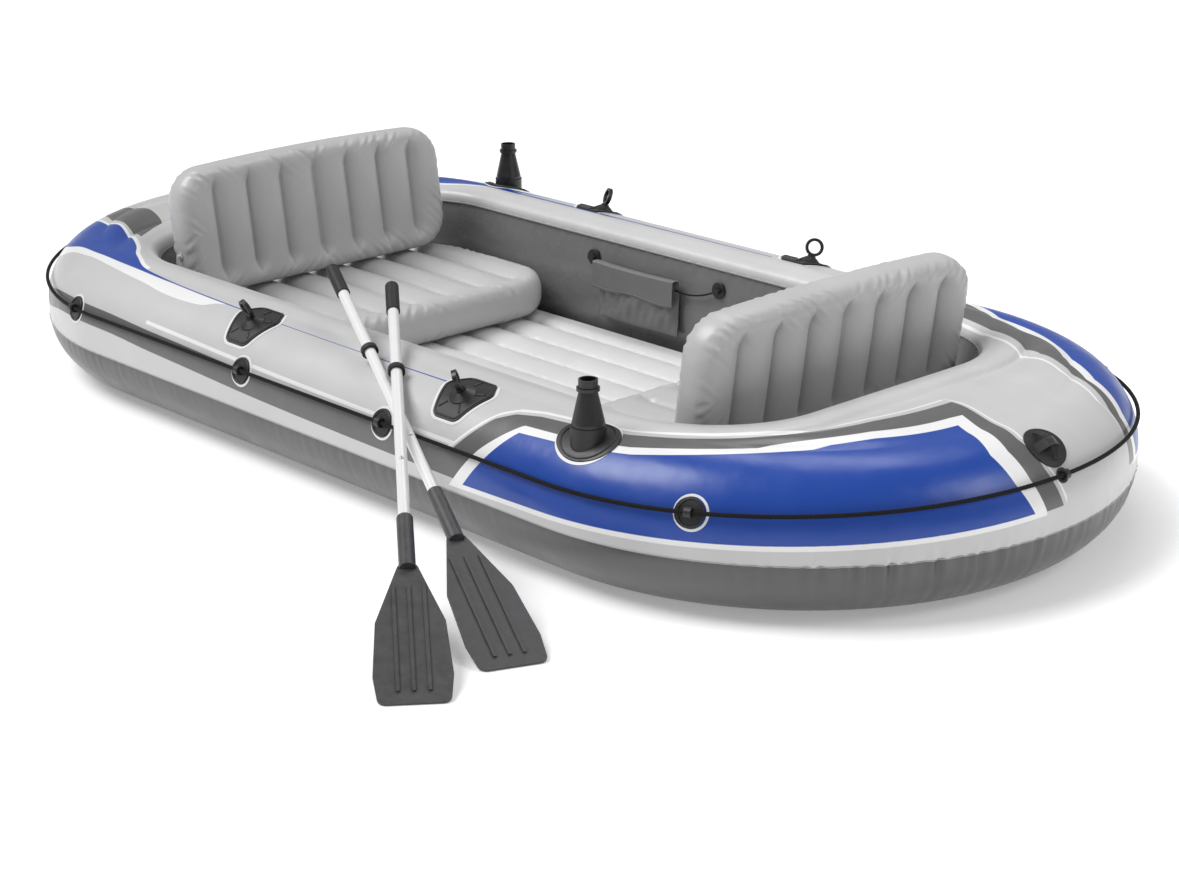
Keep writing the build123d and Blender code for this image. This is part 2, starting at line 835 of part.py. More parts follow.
# ---------------------------------------------------------------- oars
def oar(name, tip, heading, pitch):
    """An oar that lies along its heading, rising by its pitch from the end of its blade."""
    turn, rise = radians(heading), radians(pitch)
    along = Vector(cos(rise) * cos(turn), cos(rise) * sin(turn), sin(rise))
    across = Vector(-sin(turn), cos(turn), 0)
    end_plane = Plane(origin=(*tip, blade_thick / 2 * cos(rise)), x_dir=across, z_dir=along)
    flat = Plane(origin=end_plane.origin, x_dir=across, z_dir=-end_plane.y_dir)

    with BuildPart() as blade:
        with BuildSketch(flat):
            with BuildLine():
                Polyline(
                    (-blade_tip_width / 2, 0), (-blade_width / 2, blade_shoulder / 3),
                    (-blade_tip_width / 2, blade_shoulder), (-socket_radius, blade_length),
                    (socket_radius, blade_length), (blade_tip_width / 2, blade_shoulder),
                    (blade_width / 2, blade_shoulder / 3), (blade_tip_width / 2, 0), close=True,
                )
            outline = make_face()
            fillet(outline.vertices(), blade_corner)
        extrude(amount=blade_thick / 2, both=True)
        with BuildSketch(flat):
            with Locations((0, rib_start + rib_length / 2)):
                with GridLocations(rib_spacing, 0, 3, 1):
                    SlotOverall(rib_length, rib_width, rotation=90)
        extrude(amount=blade_thick / 2 + blade_rib, both=True)
        with BuildSketch(end_plane.offset(blade_length - socket_radius)):
            Circle(socket_radius)
        extrude(amount=socket_end - blade_length + socket_radius)
        with BuildSketch(end_plane.offset(shaft_start)):
            Circle(shaft_radius + shaft_clearance)
        extrude(amount=socket_end - shaft_start, mode=Mode.SUBTRACT)
    finish(blade, f"oar_{name}_blade")

    button_hole = Plane(origin=end_plane.origin + along * button_place, x_dir=along, z_dir=end_plane.y_dir)
    inner_radius = shaft_radius - shaft_wall - shaft_clearance
    with BuildPart() as lower:
        with BuildSketch(end_plane.offset(shaft_start)):
            Circle(shaft_radius)
            Circle(shaft_radius - shaft_wall, mode=Mode.SUBTRACT)
        extrude(amount=shaft_joint - shaft_start)
        with BuildSketch(button_hole):
            Circle(button_radius + button_clearance)
        extrude(amount=2 * shaft_radius, mode=Mode.SUBTRACT)
    finish(lower, f"oar_{name}_lower_shaft")

    with BuildPart() as upper:
        with BuildSketch(end_plane.offset(shaft_joint)):
            Circle(shaft_radius)
            Circle(inner_radius - shaft_wall, mode=Mode.SUBTRACT)
        extrude(amount=shaft_wall)
        with BuildSketch(end_plane.offset(shaft_joint)):
            Circle(shaft_radius)
            Circle(shaft_radius - shaft_wall, mode=Mode.SUBTRACT)
        extrude(amount=oar_length - grip_cap - shaft_joint)
        with BuildSketch(end_plane.offset(shaft_joint - swage_length)):
            Circle(inner_radius)
            Circle(inner_radius - shaft_wall, mode=Mode.SUBTRACT)
        extrude(amount=swage_length)
        with BuildSketch(button_hole):
            Circle(button_radius + button_clearance)
        extrude(amount=2 * shaft_radius, mode=Mode.SUBTRACT)
    finish(upper, f"oar_{name}_upper_shaft")

    button_stop = inner_radius - shaft_wall - button_stop_gap
    with BuildPart() as button:
        with BuildSketch(button_hole.offset(button_stop - button_rise)):
            Circle(button_radius)
        extrude(amount=shaft_radius + 2 * button_rise - button_stop)
        fillet(button.faces().sort_by(Axis(button_hole.origin, button_hole.z_dir))[-1].edges(), button_radius / 2)
        with BuildSketch(button_hole.offset(button_stop - button_rise)):
            Circle(button_head_radius)
        extrude(amount=button_rise - button_stop_gap)
    finish(button, f"oar_{name}_button")

    with BuildPart() as collar:
        with BuildSketch(end_plane.offset(collar_place - collar_length / 2)):
            Circle(collar_radius)
            Circle(shaft_radius + collar_clearance, mode=Mode.SUBTRACT)
        extrude(amount=collar_length)
    finish(collar, f"oar_{name}_collar")

    with BuildPart() as grip:
        with BuildSketch(end_plane.offset(grip_start)):
            Circle(grip_radius)
        extrude(amount=oar_length - grip_start)
        fillet(grip.faces().sort_by(Axis(end_plane.origin, along))[-1].edges(), grip_cap)
        with BuildSketch(end_plane.offset(grip_start)):
            Circle(shaft_radius + shaft_clearance)
        extrude(amount=oar_length - grip_cap - grip_start, mode=Mode.SUBTRACT)
    finish(grip, f"oar_{name}_grip")


for oar_name, pose in oar_poses.items():
    oar(oar_name, **pose)
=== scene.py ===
import bmesh
import bpy
import numpy as np
from mathutils import Matrix, Vector


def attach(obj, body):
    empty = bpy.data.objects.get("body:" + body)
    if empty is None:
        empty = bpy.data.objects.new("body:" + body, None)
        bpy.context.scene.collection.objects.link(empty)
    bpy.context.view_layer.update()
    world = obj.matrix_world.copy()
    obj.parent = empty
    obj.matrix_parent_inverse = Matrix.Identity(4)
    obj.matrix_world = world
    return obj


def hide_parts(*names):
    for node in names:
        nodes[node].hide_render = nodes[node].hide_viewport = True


# An inflatable dinghy in metres: +X to the bow, +Y to port, +Z up, standing on z = 0.
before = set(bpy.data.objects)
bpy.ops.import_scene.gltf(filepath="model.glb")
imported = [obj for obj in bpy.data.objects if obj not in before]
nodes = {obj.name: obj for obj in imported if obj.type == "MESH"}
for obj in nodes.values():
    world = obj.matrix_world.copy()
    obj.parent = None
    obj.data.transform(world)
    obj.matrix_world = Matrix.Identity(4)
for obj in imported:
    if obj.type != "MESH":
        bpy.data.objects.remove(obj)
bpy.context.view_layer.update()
print("frame loaded:", len(nodes), "nodes")


# ---- mesh tools
def smoothStep(low, high, value):
    # cubic ease from 0 at low to 1 at high
    part = np.clip((value - low) / (high - low), 0.0, 1.0)
    return part * part * (3.0 - 2.0 * part)


def unitRows(rows):
    return rows / np.maximum(np.linalg.norm(rows, axis=-1, keepdims=True), 1e-12)


def gridPiece(name, points, material, body, uv=None, closeColumns=False, closeRows=False,
              facing=None, inward=None, weld=False):
    # a sheet of quads through a grid of points: columns by rows by 3, closed either way if asked
    columns, rows = points.shape[:2]
    c, r = np.meshgrid(
        np.arange(columns if closeColumns else columns - 1),
        np.arange(rows if closeRows else rows - 1), indexing="ij",
    )
    c, r = c.ravel(), r.ravel()
    nextC, nextR = (c + 1) % columns, (r + 1) % rows
    faces = np.stack([c * rows + r, nextC * rows + r, nextC * rows + nextR, c * rows + nextR], axis=1)
    flat = points.reshape(-1, 3)
    corners = flat[faces]
    areas = np.cross(corners[:, 2] - corners[:, 0], corners[:, 3] - corners[:, 1])
    middle = corners.mean(axis=1)
    if facing is not None:
        turned = (areas @ np.array(facing, float)).sum() < 0
    elif inward is not None:
        turned = ((np.array(inward, float) - middle) * areas).sum() < 0
    else:
        turned = ((middle - flat.mean(axis=0)) * areas).sum() < 0
    order = np.array([0, 3, 2, 1]) if turned else np.arange(4)
    faces = faces[:, order]
    mesh = bpy.data.meshes.new(name)
    mesh.from_pydata(flat, [], faces)
    if uv is not None:
        around = uv.shape[0]
        uvC, uvR = np.where(c + 1 < around, c + 1, 0), np.where(r + 1 < uv.shape[1], r + 1, 0)
        uvQuads = np.stack([uv[c, r], uv[uvC, r], uv[uvC, uvR], uv[c, uvR]], axis=1)[:, order]
        layer = mesh.uv_layers.new(name="surface")
        layer.data.foreach_set("uv", uvQuads.astype(np.float32).ravel())
    if weld:
        work = bmesh.new()
        work.from_mesh(mesh)
        bmesh.ops.remove_doubles(work, verts=work.verts, dist=2e-5)
        bmesh.ops.recalc_face_normals(work, faces=work.faces)
        work.to_mesh(mesh)
        work.free()
    mesh.polygons.foreach_set("use_smooth", np.ones(len(mesh.polygons), bool))
    mesh.update()
    piece = bpy.data.objects.new(name, mesh)
    bpy.context.scene.collection.objects.link(piece)
    piece.data.materials.append(material)
    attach(piece, body)
    return piece


def tubeGrid(path, radius, around=10, closed=False):
    # a tube: circles of the given radius, square to the path, each starting level with it
    if closed:
        tangents = unitRows(np.roll(path, -1, axis=0) - np.roll(path, 1, axis=0))
    else:
        tangents = unitRows(np.gradient(path, axis=0))
    level = np.array([0.0, 0.0, 1.0])
    side = np.cross(tangents, level)
    weak = np.linalg.norm(side, axis=1) < 1e-3
    side[weak] = np.cross(tangents[weak], np.array([1.0, 0.0, 0.0]))
    side = unitRows(side)
    up = np.cross(side, tangents)
    angle = np.linspace(0, 2 * np.pi, around, endpoint=False)[None, :, None]
    return path[:, None, :] + radius * (np.cos(angle) * side[:, None, :] + np.sin(angle) * up[:, None, :])


def tubePiece(name, path, radius, material, body, around=10, closed=False):
    # a tube with caps, its UV running along the path in metres and once round it
    rings = tubeGrid(path, radius, around, closed)
    steps = np.linalg.norm(np.diff(path, axis=0, append=path[:1]), axis=1)
    along = np.concatenate([[0.0], np.cumsum(steps)])
    if not closed:
        along = along[:-1]
        first, last = rings[:1].mean(axis=1, keepdims=True), rings[-1:].mean(axis=1, keepdims=True)
        rings = np.concatenate([np.repeat(first, around, axis=1), rings, np.repeat(last, around, axis=1)])
        along = np.concatenate([[along[0]], along, [along[-1]]])
    uv = np.stack(np.broadcast_arrays(along[:, None], np.linspace(0, 1, around + 1)[None, :]), axis=2)
    return gridPiece(name, rings, material, body, uv=uv, closeColumns=closed, closeRows=True,
                     weld=not closed)


def roundedBox(x, y, halfX, halfY, corner):
    # distance inside a rounded rectangle, positive inwards
    overX, overY = np.abs(x) - (halfX - corner), np.abs(y) - (halfY - corner)
    outside = np.hypot(np.maximum(overX, 0), np.maximum(overY, 0))
    return corner - outside - np.minimum(np.maximum(overX, overY), 0)


def roundedPath(halfX, halfY, corner, count):
    # points and outward directions round a rounded rectangle, evenly spaced along it
    straightX, straightY, arc = 2 * (halfX - corner), 2 * (halfY - corner), corner * np.pi / 2
    total = 2 * straightX + 2 * straightY + 4 * arc
    edges = np.cumsum([0, straightY, arc, straightX, arc, straightY, arc, straightX, arc])
    walk = np.linspace(0, total, count, endpoint=False)
    leg = np.searchsorted(edges, walk, side="right") - 1
    part = walk - edges[leg]
    quarter = leg // 2
    isArc = leg % 2 == 1
    heading = quarter * np.pi / 2 + np.where(isArc, part / corner, 0.0)
    out = np.stack([np.cos(heading), np.sin(heading)], axis=1)
    cornerX = (halfX - corner) * np.array([1, -1, -1, 1])[quarter]
    cornerY = (halfY - corner) * np.array([1, 1, -1, -1])[quarter]
    ahead = np.stack([-np.sin(quarter * np.pi / 2), np.cos(quarter * np.pi / 2)], axis=1)
    legLength = np.where(quarter % 2 == 0, straightY, straightX)
    back = np.where(isArc, 0.0, part - legLength)
    points = np.stack([cornerX, cornerY], axis=1) + corner * out + ahead * back[:, None]
    return points, out, walk


def ripple(walk, wavelength, seed):
    # uneven puckers: waves of three nearby lengths, so that no two folds are alike
    return (
        0.5 * np.sin(walk * 2 * np.pi / wavelength + seed)
        + 0.32 * np.sin(walk * 2 * np.pi / (wavelength * 1.37) + 2.3 * seed)
        + 0.3 * np.sin(walk * 2 * np.pi / (wavelength * 0.71) + 4.1 * seed)
    )


# ---- node tools
def addNode(tree, kind, **settings):
    node = tree.nodes.new(kind)
    for key, value in settings.items():
        setattr(node, key, value)
    return node


def feed(tree, socket, value):
    if isinstance(value, bpy.types.NodeSocket):
        tree.links.new(value, socket)
    else:
        socket.default_value = value


def calc(tree, operation, *values, clamp=False):
    node = addNode(tree, "ShaderNodeMath", operation=operation, use_clamp=clamp)
    for socket, value in zip(node.inputs, values):
        feed(tree, socket, value)
    return node.outputs[0]


def ramp(tree, value, fromLow, fromHigh, toLow=0.0, toHigh=1.0):
    node = addNode(tree, "ShaderNodeMapRange")
    for index, item in enumerate((value, fromLow, fromHigh, toLow, toHigh)):
        feed(tree, node.inputs[index], item)
    return node.outputs[0]


def mixColour(tree, amount, first, second):
    node = addNode(tree, "ShaderNodeMix", data_type="RGBA")
    feed(tree, node.inputs[0], amount)
    feed(tree, node.inputs[6], first)
    feed(tree, node.inputs[7], second)
    return node.outputs[2]


def noise(tree, vector, scale, detail=3.0, roughness=0.5):
    node = addNode(tree, "ShaderNodeTexNoise")
    feed(tree, node.inputs["Vector"], vector)
    feed(tree, node.inputs["Scale"], scale)
    node.inputs["Detail"].default_value = detail
    node.inputs["Roughness"].default_value = roughness
    return node.outputs["Fac"]


def newGroup(name, inputs, outputs):
    group = bpy.data.node_groups.new(name, "ShaderNodeTree")
    for label, kind, value in inputs:
        socket = group.interface.new_socket(name=label, in_out="INPUT", socket_type=kind)
        if value is not None:
            socket.default_value = value
    for label, kind in outputs:
        group.interface.new_socket(name=label, in_out="OUTPUT", socket_type=kind)
    return group, group.nodes.new("NodeGroupInput"), group.nodes.new("NodeGroupOutput")


# embossed film: fine pebbles on slow swells, and hazy patches where it has been handled
filmGroup, source, sink = newGroup(
    "filmGrain",
    [("Vector", "NodeSocketVector", None), ("Pebble Scale", "NodeSocketFloat", 900.0),
     ("Pebble Height", "NodeSocketFloat", 0.00006), ("Swell Height", "NodeSocketFloat", 0.0009)],
    [("Height", "NodeSocketFloat"), ("Tone", "NodeSocketFloat"), ("Haze", "NodeSocketFloat")],
)
pebble = addNode(filmGroup, "ShaderNodeTexVoronoi", feature="SMOOTH_F1")
filmGroup.links.new(source.outputs["Vector"], pebble.inputs["Vector"])
filmGroup.links.new(source.outputs["Pebble Scale"], pebble.inputs["Scale"])
swell = noise(filmGroup, source.outputs["Vector"], 16.0, 2.0, 0.45)
fineHeight = calc(filmGroup, "MULTIPLY", pebble.outputs["Distance"], source.outputs["Pebble Height"])
swellHeight = calc(filmGroup, "MULTIPLY", swell, source.outputs["Swell Height"])
feed(filmGroup, sink.inputs["Height"], calc(filmGroup, "ADD", fineHeight, swellHeight))
toneNoise = noise(filmGroup, source.outputs["Vector"], 5.0, 4.0, 0.6)
feed(filmGroup, sink.inputs["Tone"], ramp(filmGroup, toneNoise, 0.3, 0.7, 0.955, 1.03))
haze = noise(filmGroup, source.outputs["Vector"], 11.0, 5.0, 0.62)
feed(filmGroup, sink.inputs["Haze"], ramp(filmGroup, haze, 0.35, 0.7))

# moulded grain: spark-eroded speckle and faint flow marks
mouldGroup, source, sink = newGroup(
    "mouldGrain",
    [("Vector", "NodeSocketVector", None), ("Speckle Height", "NodeSocketFloat", 0.00012),
     ("Tone Spread", "NodeSocketFloat", 0.3)],
    [("Height", "NodeSocketFloat"), ("Tone", "NodeSocketFloat"), ("Mottle", "NodeSocketFloat")],
)
speckle = noise(mouldGroup, source.outputs["Vector"], 1400.0, 2.0, 0.6)
feed(mouldGroup, sink.inputs["Height"], calc(mouldGroup, "MULTIPLY", speckle, source.outputs["Speckle Height"]))
mottle = ramp(mouldGroup, noise(mouldGroup, source.outputs["Vector"], 38.0, 4.0, 0.6), 0.3, 0.75)
feed(mouldGroup, sink.inputs["Mottle"], mottle)
drift = calc(mouldGroup, "MULTIPLY", calc(mouldGroup, "SUBTRACT", mottle, 0.45), source.outputs["Tone Spread"])
feed(mouldGroup, sink.inputs["Tone"], calc(mouldGroup, "MULTIPLY_ADD", drift, 2.0, 1.0))

# braid: two sets of strands crossing over the length of a cord, from its own UV, with painted shade that is darker in
# the dips between strands and lighter on their crowns
braidGroup, source, sink = newGroup(
    "cordBraid",
    [("UV", "NodeSocketVector", None), ("Strands Along", "NodeSocketFloat", 150.0),
     ("Strands Round", "NodeSocketFloat", 6.0)],
    [("Height", "NodeSocketFloat"), ("Tone", "NodeSocketFloat")],
)
parts = addNode(braidGroup, "ShaderNodeSeparateXYZ")
braidGroup.links.new(source.outputs["UV"], parts.inputs[0])
lengthWays = calc(braidGroup, "MULTIPLY", parts.outputs[0], source.outputs["Strands Along"])
roundWays = calc(braidGroup, "MULTIPLY", parts.outputs[1], source.outputs["Strands Round"])
strands = []
for hand in ("ADD", "SUBTRACT"):
    turns = calc(braidGroup, hand, lengthWays, roundWays)
    strands.append(calc(braidGroup, "SINE", calc(braidGroup, "MULTIPLY", turns, 2 * np.pi)))
crossed = calc(braidGroup, "MAXIMUM", *strands)
feed(braidGroup, sink.inputs["Height"], calc(braidGroup, "MULTIPLY", crossed, 0.0006))
# painted shade: the tone follows the strands' height, darker in the dips between strands
feed(braidGroup, sink.inputs["Tone"], ramp(braidGroup, crossed, -0.6, 1.0, 0.45, 1.2))


def startMaterial(name, roughness=0.5, coat=0.0, metallic=0.0, sheen=0.0, specular=0.5):
    material = bpy.data.materials.new(name)
    material.use_nodes = True
    tree = material.node_tree
    shader = next(n for n in tree.nodes if n.type == "BSDF_PRINCIPLED")
    shader.inputs["Roughness"].default_value = roughness
    shader.inputs["Metallic"].default_value = metallic
    shader.inputs["Coat Weight"].default_value = coat
    shader.inputs["Coat Roughness"].default_value = 0.2
    shader.inputs["Sheen Weight"].default_value = sheen
    shader.inputs["Specular IOR Level"].default_value = specular
    return material, tree, shader


def scaleColour(tree, colour, tone):
    node = addNode(tree, "ShaderNodeVectorMath", operation="SCALE")
    feed(tree, node.inputs[0], colour if isinstance(colour, bpy.types.NodeSocket) else colour[:3])
    feed(tree, node.inputs["Scale"], tone)
    return node.outputs[0]


def bumpFrom(tree, height, strength=1.0, distance=1.0):
    node = addNode(tree, "ShaderNodeBump")
    node.inputs["Strength"].default_value = strength
    node.inputs["Distance"].default_value = distance
    feed(tree, node.inputs["Height"], height)
    return node.outputs[0]


def filmMaterial(name, colour, roughness, pebbleHeight=0.00006, swellHeight=0.0009, coat=0.0, hazeSpread=0.12,
                 paint=None):
    # welded film: its colour or its print, with a tone that drifts and a patchy satin
    material, tree, shader = startMaterial(name, roughness, coat)
    place = addNode(tree, "ShaderNodeTexCoord").outputs["Object"]
    film = addNode(tree, "ShaderNodeGroup", node_tree=filmGroup)
    tree.links.new(place, film.inputs["Vector"])
    film.inputs["Pebble Height"].default_value = pebbleHeight
    film.inputs["Swell Height"].default_value = swellHeight
    base = paint(tree, place) if paint else (*colour, 1.0)
    feed(tree, shader.inputs["Base Color"], scaleColour(tree, base, film.outputs["Tone"]))
    satin = ramp(tree, film.outputs["Haze"], 0.0, 1.0, roughness - hazeSpread / 2, roughness + hazeSpread / 2)
    feed(tree, shader.inputs["Roughness"], satin)
    feed(tree, shader.inputs["Normal"], bumpFrom(tree, film.outputs["Height"]))
    return material


def mouldMaterial(name, colour, roughness, speckleHeight=0.00012, metallic=0.0, coat=0.0, toneSpread=0.3):
    # moulded plastic or rubber with a spark-eroded grain
    material, tree, shader = startMaterial(name, roughness, coat, metallic)
    place = addNode(tree, "ShaderNodeTexCoord").outputs["Object"]
    grain = addNode(tree, "ShaderNodeGroup", node_tree=mouldGroup)
    tree.links.new(place, grain.inputs["Vector"])
    grain.inputs["Speckle Height"].default_value = speckleHeight
    grain.inputs["Tone Spread"].default_value = toneSpread
    feed(tree, shader.inputs["Base Color"], scaleColour(tree, (*colour, 1.0), grain.outputs["Tone"]))
    satin = ramp(tree, grain.outputs["Mottle"], 0.0, 1.0, roughness - 0.2 * toneSpread, roughness + 0.33 * toneSpread)
    feed(tree, shader.inputs["Roughness"], satin)
    feed(tree, shader.inputs["Normal"], bumpFrom(tree, grain.outputs["Height"]))
    return material


def braidMaterial(name, colour, strandsAlong, strandsRound):
    material, tree, shader = startMaterial(name, 0.78, specular=0.25)
    braid = addNode(tree, "ShaderNodeGroup", node_tree=braidGroup)
    tree.links.new(addNode(tree, "ShaderNodeTexCoord").outputs["UV"], braid.inputs["UV"])
    braid.inputs["Strands Along"].default_value = strandsAlong
    braid.inputs["Strands Round"].default_value = strandsRound
    # the braid's Tone is painted shade, darker between the strands
    feed(tree, shader.inputs["Base Color"], scaleColour(tree, (*colour, 1.0), braid.outputs["Tone"]))
    feed(tree, shader.inputs["Normal"], bumpFrom(tree, braid.outputs["Height"]))
    return material


# ---- the printed film of the deck
# Its UV is metres along the hull from amidships, + to the bow on both sides, and metres of
# girth up from the seam, over the shoulder and in across the deck.
deckPrint = {
    "film": (0.56, 0.56, 0.56), "white": (0.84, 0.84, 0.845), "grey": (0.115, 0.115, 0.115),
    "blue": (0.006, 0.056, 0.35), "lineHalf": 0.0045, "portLineFoot": 0.274,
    "panelTop": [
        (0.575, 0.012), (0.635, 0.084), (0.705, 0.172), (0.81, 0.180), (1.01, 0.198), (1.2, 0.234),
        (1.4, 0.270), (1.6, 0.304), (1.87, 0.322), (2.02, 0.322),
    ],
    "borderTop": [
        (0.54, 0.012), (0.62, 0.108), (0.705, 0.192), (0.8, 0.198), (1.0, 0.217), (1.2, 0.256),
        (1.4, 0.296), (1.6, 0.334), (1.87, 0.354), (2.02, 0.354),
    ],
    "bandTop": [
        (0.5, 0.086), (0.54, 0.088), (0.585, 0.14), (0.62, 0.184), (0.66, 0.212), (0.72, 0.228),
        (0.965, 0.256), (1.165, 0.302), (1.4, 0.362), (1.65, 0.410), (1.9, 0.422), (2.02, 0.422),
    ],
    "panelEnd": [(0.0, 1.925), (0.052, 1.91), (0.124, 1.87), (0.196, 1.845), (0.32, 1.865), (0.45, 1.87)],
    "borderEnd": [
        (0.0, 1.95), (0.056, 1.94), (0.124, 1.912), (0.196, 1.895), (0.284, 1.905), (0.368, 1.925),
        (0.45, 1.93),
    ],
    "bandEnd": [
        (0.0, 2.01), (0.052, 1.993), (0.136, 1.962), (0.22, 1.948), (0.36, 1.972), (0.436, 1.985),
        (0.45, 1.985),
    ],
    "portTop": [
        (0.575, 0.012), (0.705, 0.172), (0.8, 0.232), (0.97, 0.288), (1.2, 0.278), (1.4, 0.268),
        (1.54, 0.226), (1.63, 0.14), (1.64, 0.0), (2.02, 0.0),
    ],
    "portBorder": [
        (0.54, 0.012), (0.69, 0.19), (0.79, 0.25), (0.97, 0.31), (1.2, 0.297), (1.41, 0.288),
        (1.56, 0.244), (1.658, 0.144), (1.665, 0.0), (2.02, 0.0),
    ],
    "portBand": [
        (0.5, 0.086), (0.54, 0.088), (0.62, 0.184), (0.72, 0.27), (0.9, 0.352), (1.07, 0.366),
        (1.276, 0.350), (1.4, 0.336), (1.55, 0.268), (1.68, 0.172), (1.708, 0.055), (1.71, 0.0),
        (2.02, 0.0),
    ],
    "stripeTop": [
        (-1.9, 0.03), (-1.66, 0.055), (-1.17, 0.092), (-0.93, 0.114), (-0.565, 0.104), (0.0, 0.090),
        (0.6, 0.086),
    ],
    "stripeFoot": [
        (-1.9, 0.03), (-1.66, 0.028), (-1.17, 0.044), (-0.93, 0.068), (-0.55, 0.056), (0.0, 0.037),
        (0.6, 0.030),
    ],
    "leafTop": [
        (-1.75, 0.05), (-1.6, 0.165), (-1.42, 0.272), (-1.27, 0.337), (-1.145, 0.350), (-0.95, 0.315),
        (-0.75, 0.268), (-0.435, 0.247), (0.45, 0.239),
    ],
    "leafFoot": [
        (-1.75, 0.05), (-1.5, 0.102), (-1.3, 0.178), (-1.12, 0.238), (-0.9, 0.264), (-0.70, 0.255),
        (-0.435, 0.243), (0.45, 0.235),
    ],
    "sweepFoot": [
        (-1.75, 0.04), (-1.5, 0.068), (-1.3, 0.143), (-1.13, 0.212), (-0.965, 0.234), (-0.76, 0.223),
        (-0.59, 0.207), (-0.485, 0.212), (-0.42, 0.239), (0.45, 0.232),
    ],
    "patchTop": [(-1.76, 0.05), (-1.68, 0.23), (-1.56, 0.37), (-1.44, 0.415), (-1.33, 0.403), (-1.2, 0.37)],
    "patchFoot": [(-1.76, 0.05), (-1.6, 0.200), (-1.45, 0.283), (-1.33, 0.340), (-1.2, 0.37)],
}


curvedEdges = ("leafTop", "leafFoot", "sweepFoot", "stripeTop", "stripeFoot", "patchTop", "patchFoot")


def paintDeck(tree, place):
    # every edge of the print is a curve of girth over length, and a shape is what lies between two
    uvParts = addNode(tree, "ShaderNodeSeparateXYZ")
    tree.links.new(addNode(tree, "ShaderNodeTexCoord").outputs["UV"], uvParts.inputs[0])
    along, girth = uvParts.outputs[0], uvParts.outputs[1]
    placeParts = addNode(tree, "ShaderNodeSeparateXYZ")
    tree.links.new(place, placeParts.inputs[0])
    port = calc(tree, "GREATER_THAN", placeParts.outputs[1], 0.0)
    starboard = calc(tree, "SUBTRACT", 1.0, port)

    def edgeCurve(name, over):
        points = deckPrint[name]
        low, high = points[0][0], points[-1][0]
        tall = max(y for _, y in points) or 1.0
        node = addNode(tree, "ShaderNodeFloatCurve")
        line = node.mapping.curves[0]
        line.points[0].location = (0.0, points[0][1] / tall)
        line.points[1].location = (1.0, points[-1][1] / tall)
        for x, y in points[1:-1]:
            line.points.new((x - low) / (high - low), y / tall)
        for point in line.points:
            point.handle_type = "AUTO" if name in curvedEdges else "VECTOR"
        node.mapping.update()
        feed(tree, node.inputs["Value"], ramp(tree, over, low, high))
        return calc(tree, "MULTIPLY", node.outputs[0], tall)

    def past(first, second):
        # 1 where first is over second, with an edge a millimetre wide
        return ramp(tree, calc(tree, "SUBTRACT", first, second), -0.0006, 0.0006)

    def both(*masks):
        result = masks[0]
        for mask in masks[1:]:
            result = calc(tree, "MULTIPLY", result, mask)
        return result

    def either(first, second):
        return calc(tree, "MAXIMUM", first, second)

    panelFoot = calc(tree, "MULTIPLY_ADD", along, 0.024, 0.010)
    over = {name: edgeCurve(name, along) for name in (
        "panelTop", "borderTop", "bandTop", "portTop", "portBorder", "portBand", "stripeTop", "stripeFoot",
        "leafTop", "leafFoot", "sweepFoot", "patchTop", "patchFoot")}
    ends = {name: edgeCurve(name, girth) for name in ("panelEnd", "borderEnd", "bandEnd")}
    bow = past(along, 0.5)
    footClear = past(girth, calc(tree, "MULTIPLY_ADD", along, 0.012, 0.030))
    band = both(bow, starboard, past(over["bandTop"], girth), past(ends["bandEnd"], along), footClear)
    bandPort = both(bow, port, past(over["portBand"], girth), footClear)
    border = both(past(along, 0.54), starboard, past(over["borderTop"], girth), past(ends["borderEnd"], along))
    borderPort = both(past(along, 0.54), port, past(over["portBorder"], girth))
    borders = both(either(border, borderPort), past(girth, calc(tree, "SUBTRACT", panelFoot, 0.011)))
    panel = both(past(along, 0.575), starboard, past(over["panelTop"], girth), past(ends["panelEnd"], along))
    panelPort = both(past(along, 0.575), port, past(over["portTop"], girth))
    panels = both(either(panel, panelPort), past(girth, panelFoot))
    stripe = both(past(over["stripeTop"], girth), past(girth, over["stripeFoot"]),
                  past(0.565, along), past(along, -1.72))
    # the fine white lines: beside the stripe, then up and round the outside of the band
    bandOuter = calc(tree, "ADD", calc(tree, "MULTIPLY", over["bandTop"], starboard),
                     calc(tree, "MULTIPLY", over["portBand"], port))
    lineGap = ramp(tree, along, 0.56, 1.3, 0.012, 0.030)
    fineUp = calc(tree, "SUBTRACT", girth, calc(tree, "ADD", bandOuter, lineGap))
    fineOver = both(past(deckPrint["lineHalf"], calc(tree, "ABSOLUTE", fineUp)), past(along, 0.53),
                    past(1.995, along), past(girth, 0.05))
    fineSide = calc(tree, "SUBTRACT", girth, calc(tree, "ADD", over["stripeTop"], 0.0175))
    fineLow = both(past(deckPrint["lineHalf"], calc(tree, "ABSOLUTE", fineSide)),
                   past(along, -0.62), past(0.545, along))
    fineEnd = calc(tree, "SUBTRACT", calc(tree, "SUBTRACT", along, ends["bandEnd"]), 0.014)
    fineDown = both(past(0.003, calc(tree, "ABSOLUTE", fineEnd)), starboard,
                    past(girth, 0.052), past(0.45, girth), past(along, 0.6))
    # a long leaf at the stern that thins to a line, with a white sweep under it and a grey patch above
    leaf = both(past(over["leafTop"], girth), past(girth, over["leafFoot"]), past(0.42, along), past(along, -1.74))
    portLineTop = ramp(tree, along, -1.0, 0.2, 0.304, 0.284)
    portLine = both(port, past(portLineTop, girth), past(girth, deckPrint["portLineFoot"]),
                    past(0.2, along), past(along, -1.15))
    leaf = either(leaf, portLine)
    sweep = both(past(over["leafTop"], girth), past(girth, over["sweepFoot"]), past(-0.42, along), past(along, -1.74))
    halo = both(past(calc(tree, "ADD", over["leafTop"], 0.011), girth), past(girth, over["leafFoot"]),
                past(-0.8, along), past(along, -1.74))
    patch = both(past(over["patchTop"], girth), past(girth, calc(tree, "ADD", over["patchFoot"], 0.004)),
                 past(-1.2, along), past(along, -1.755))

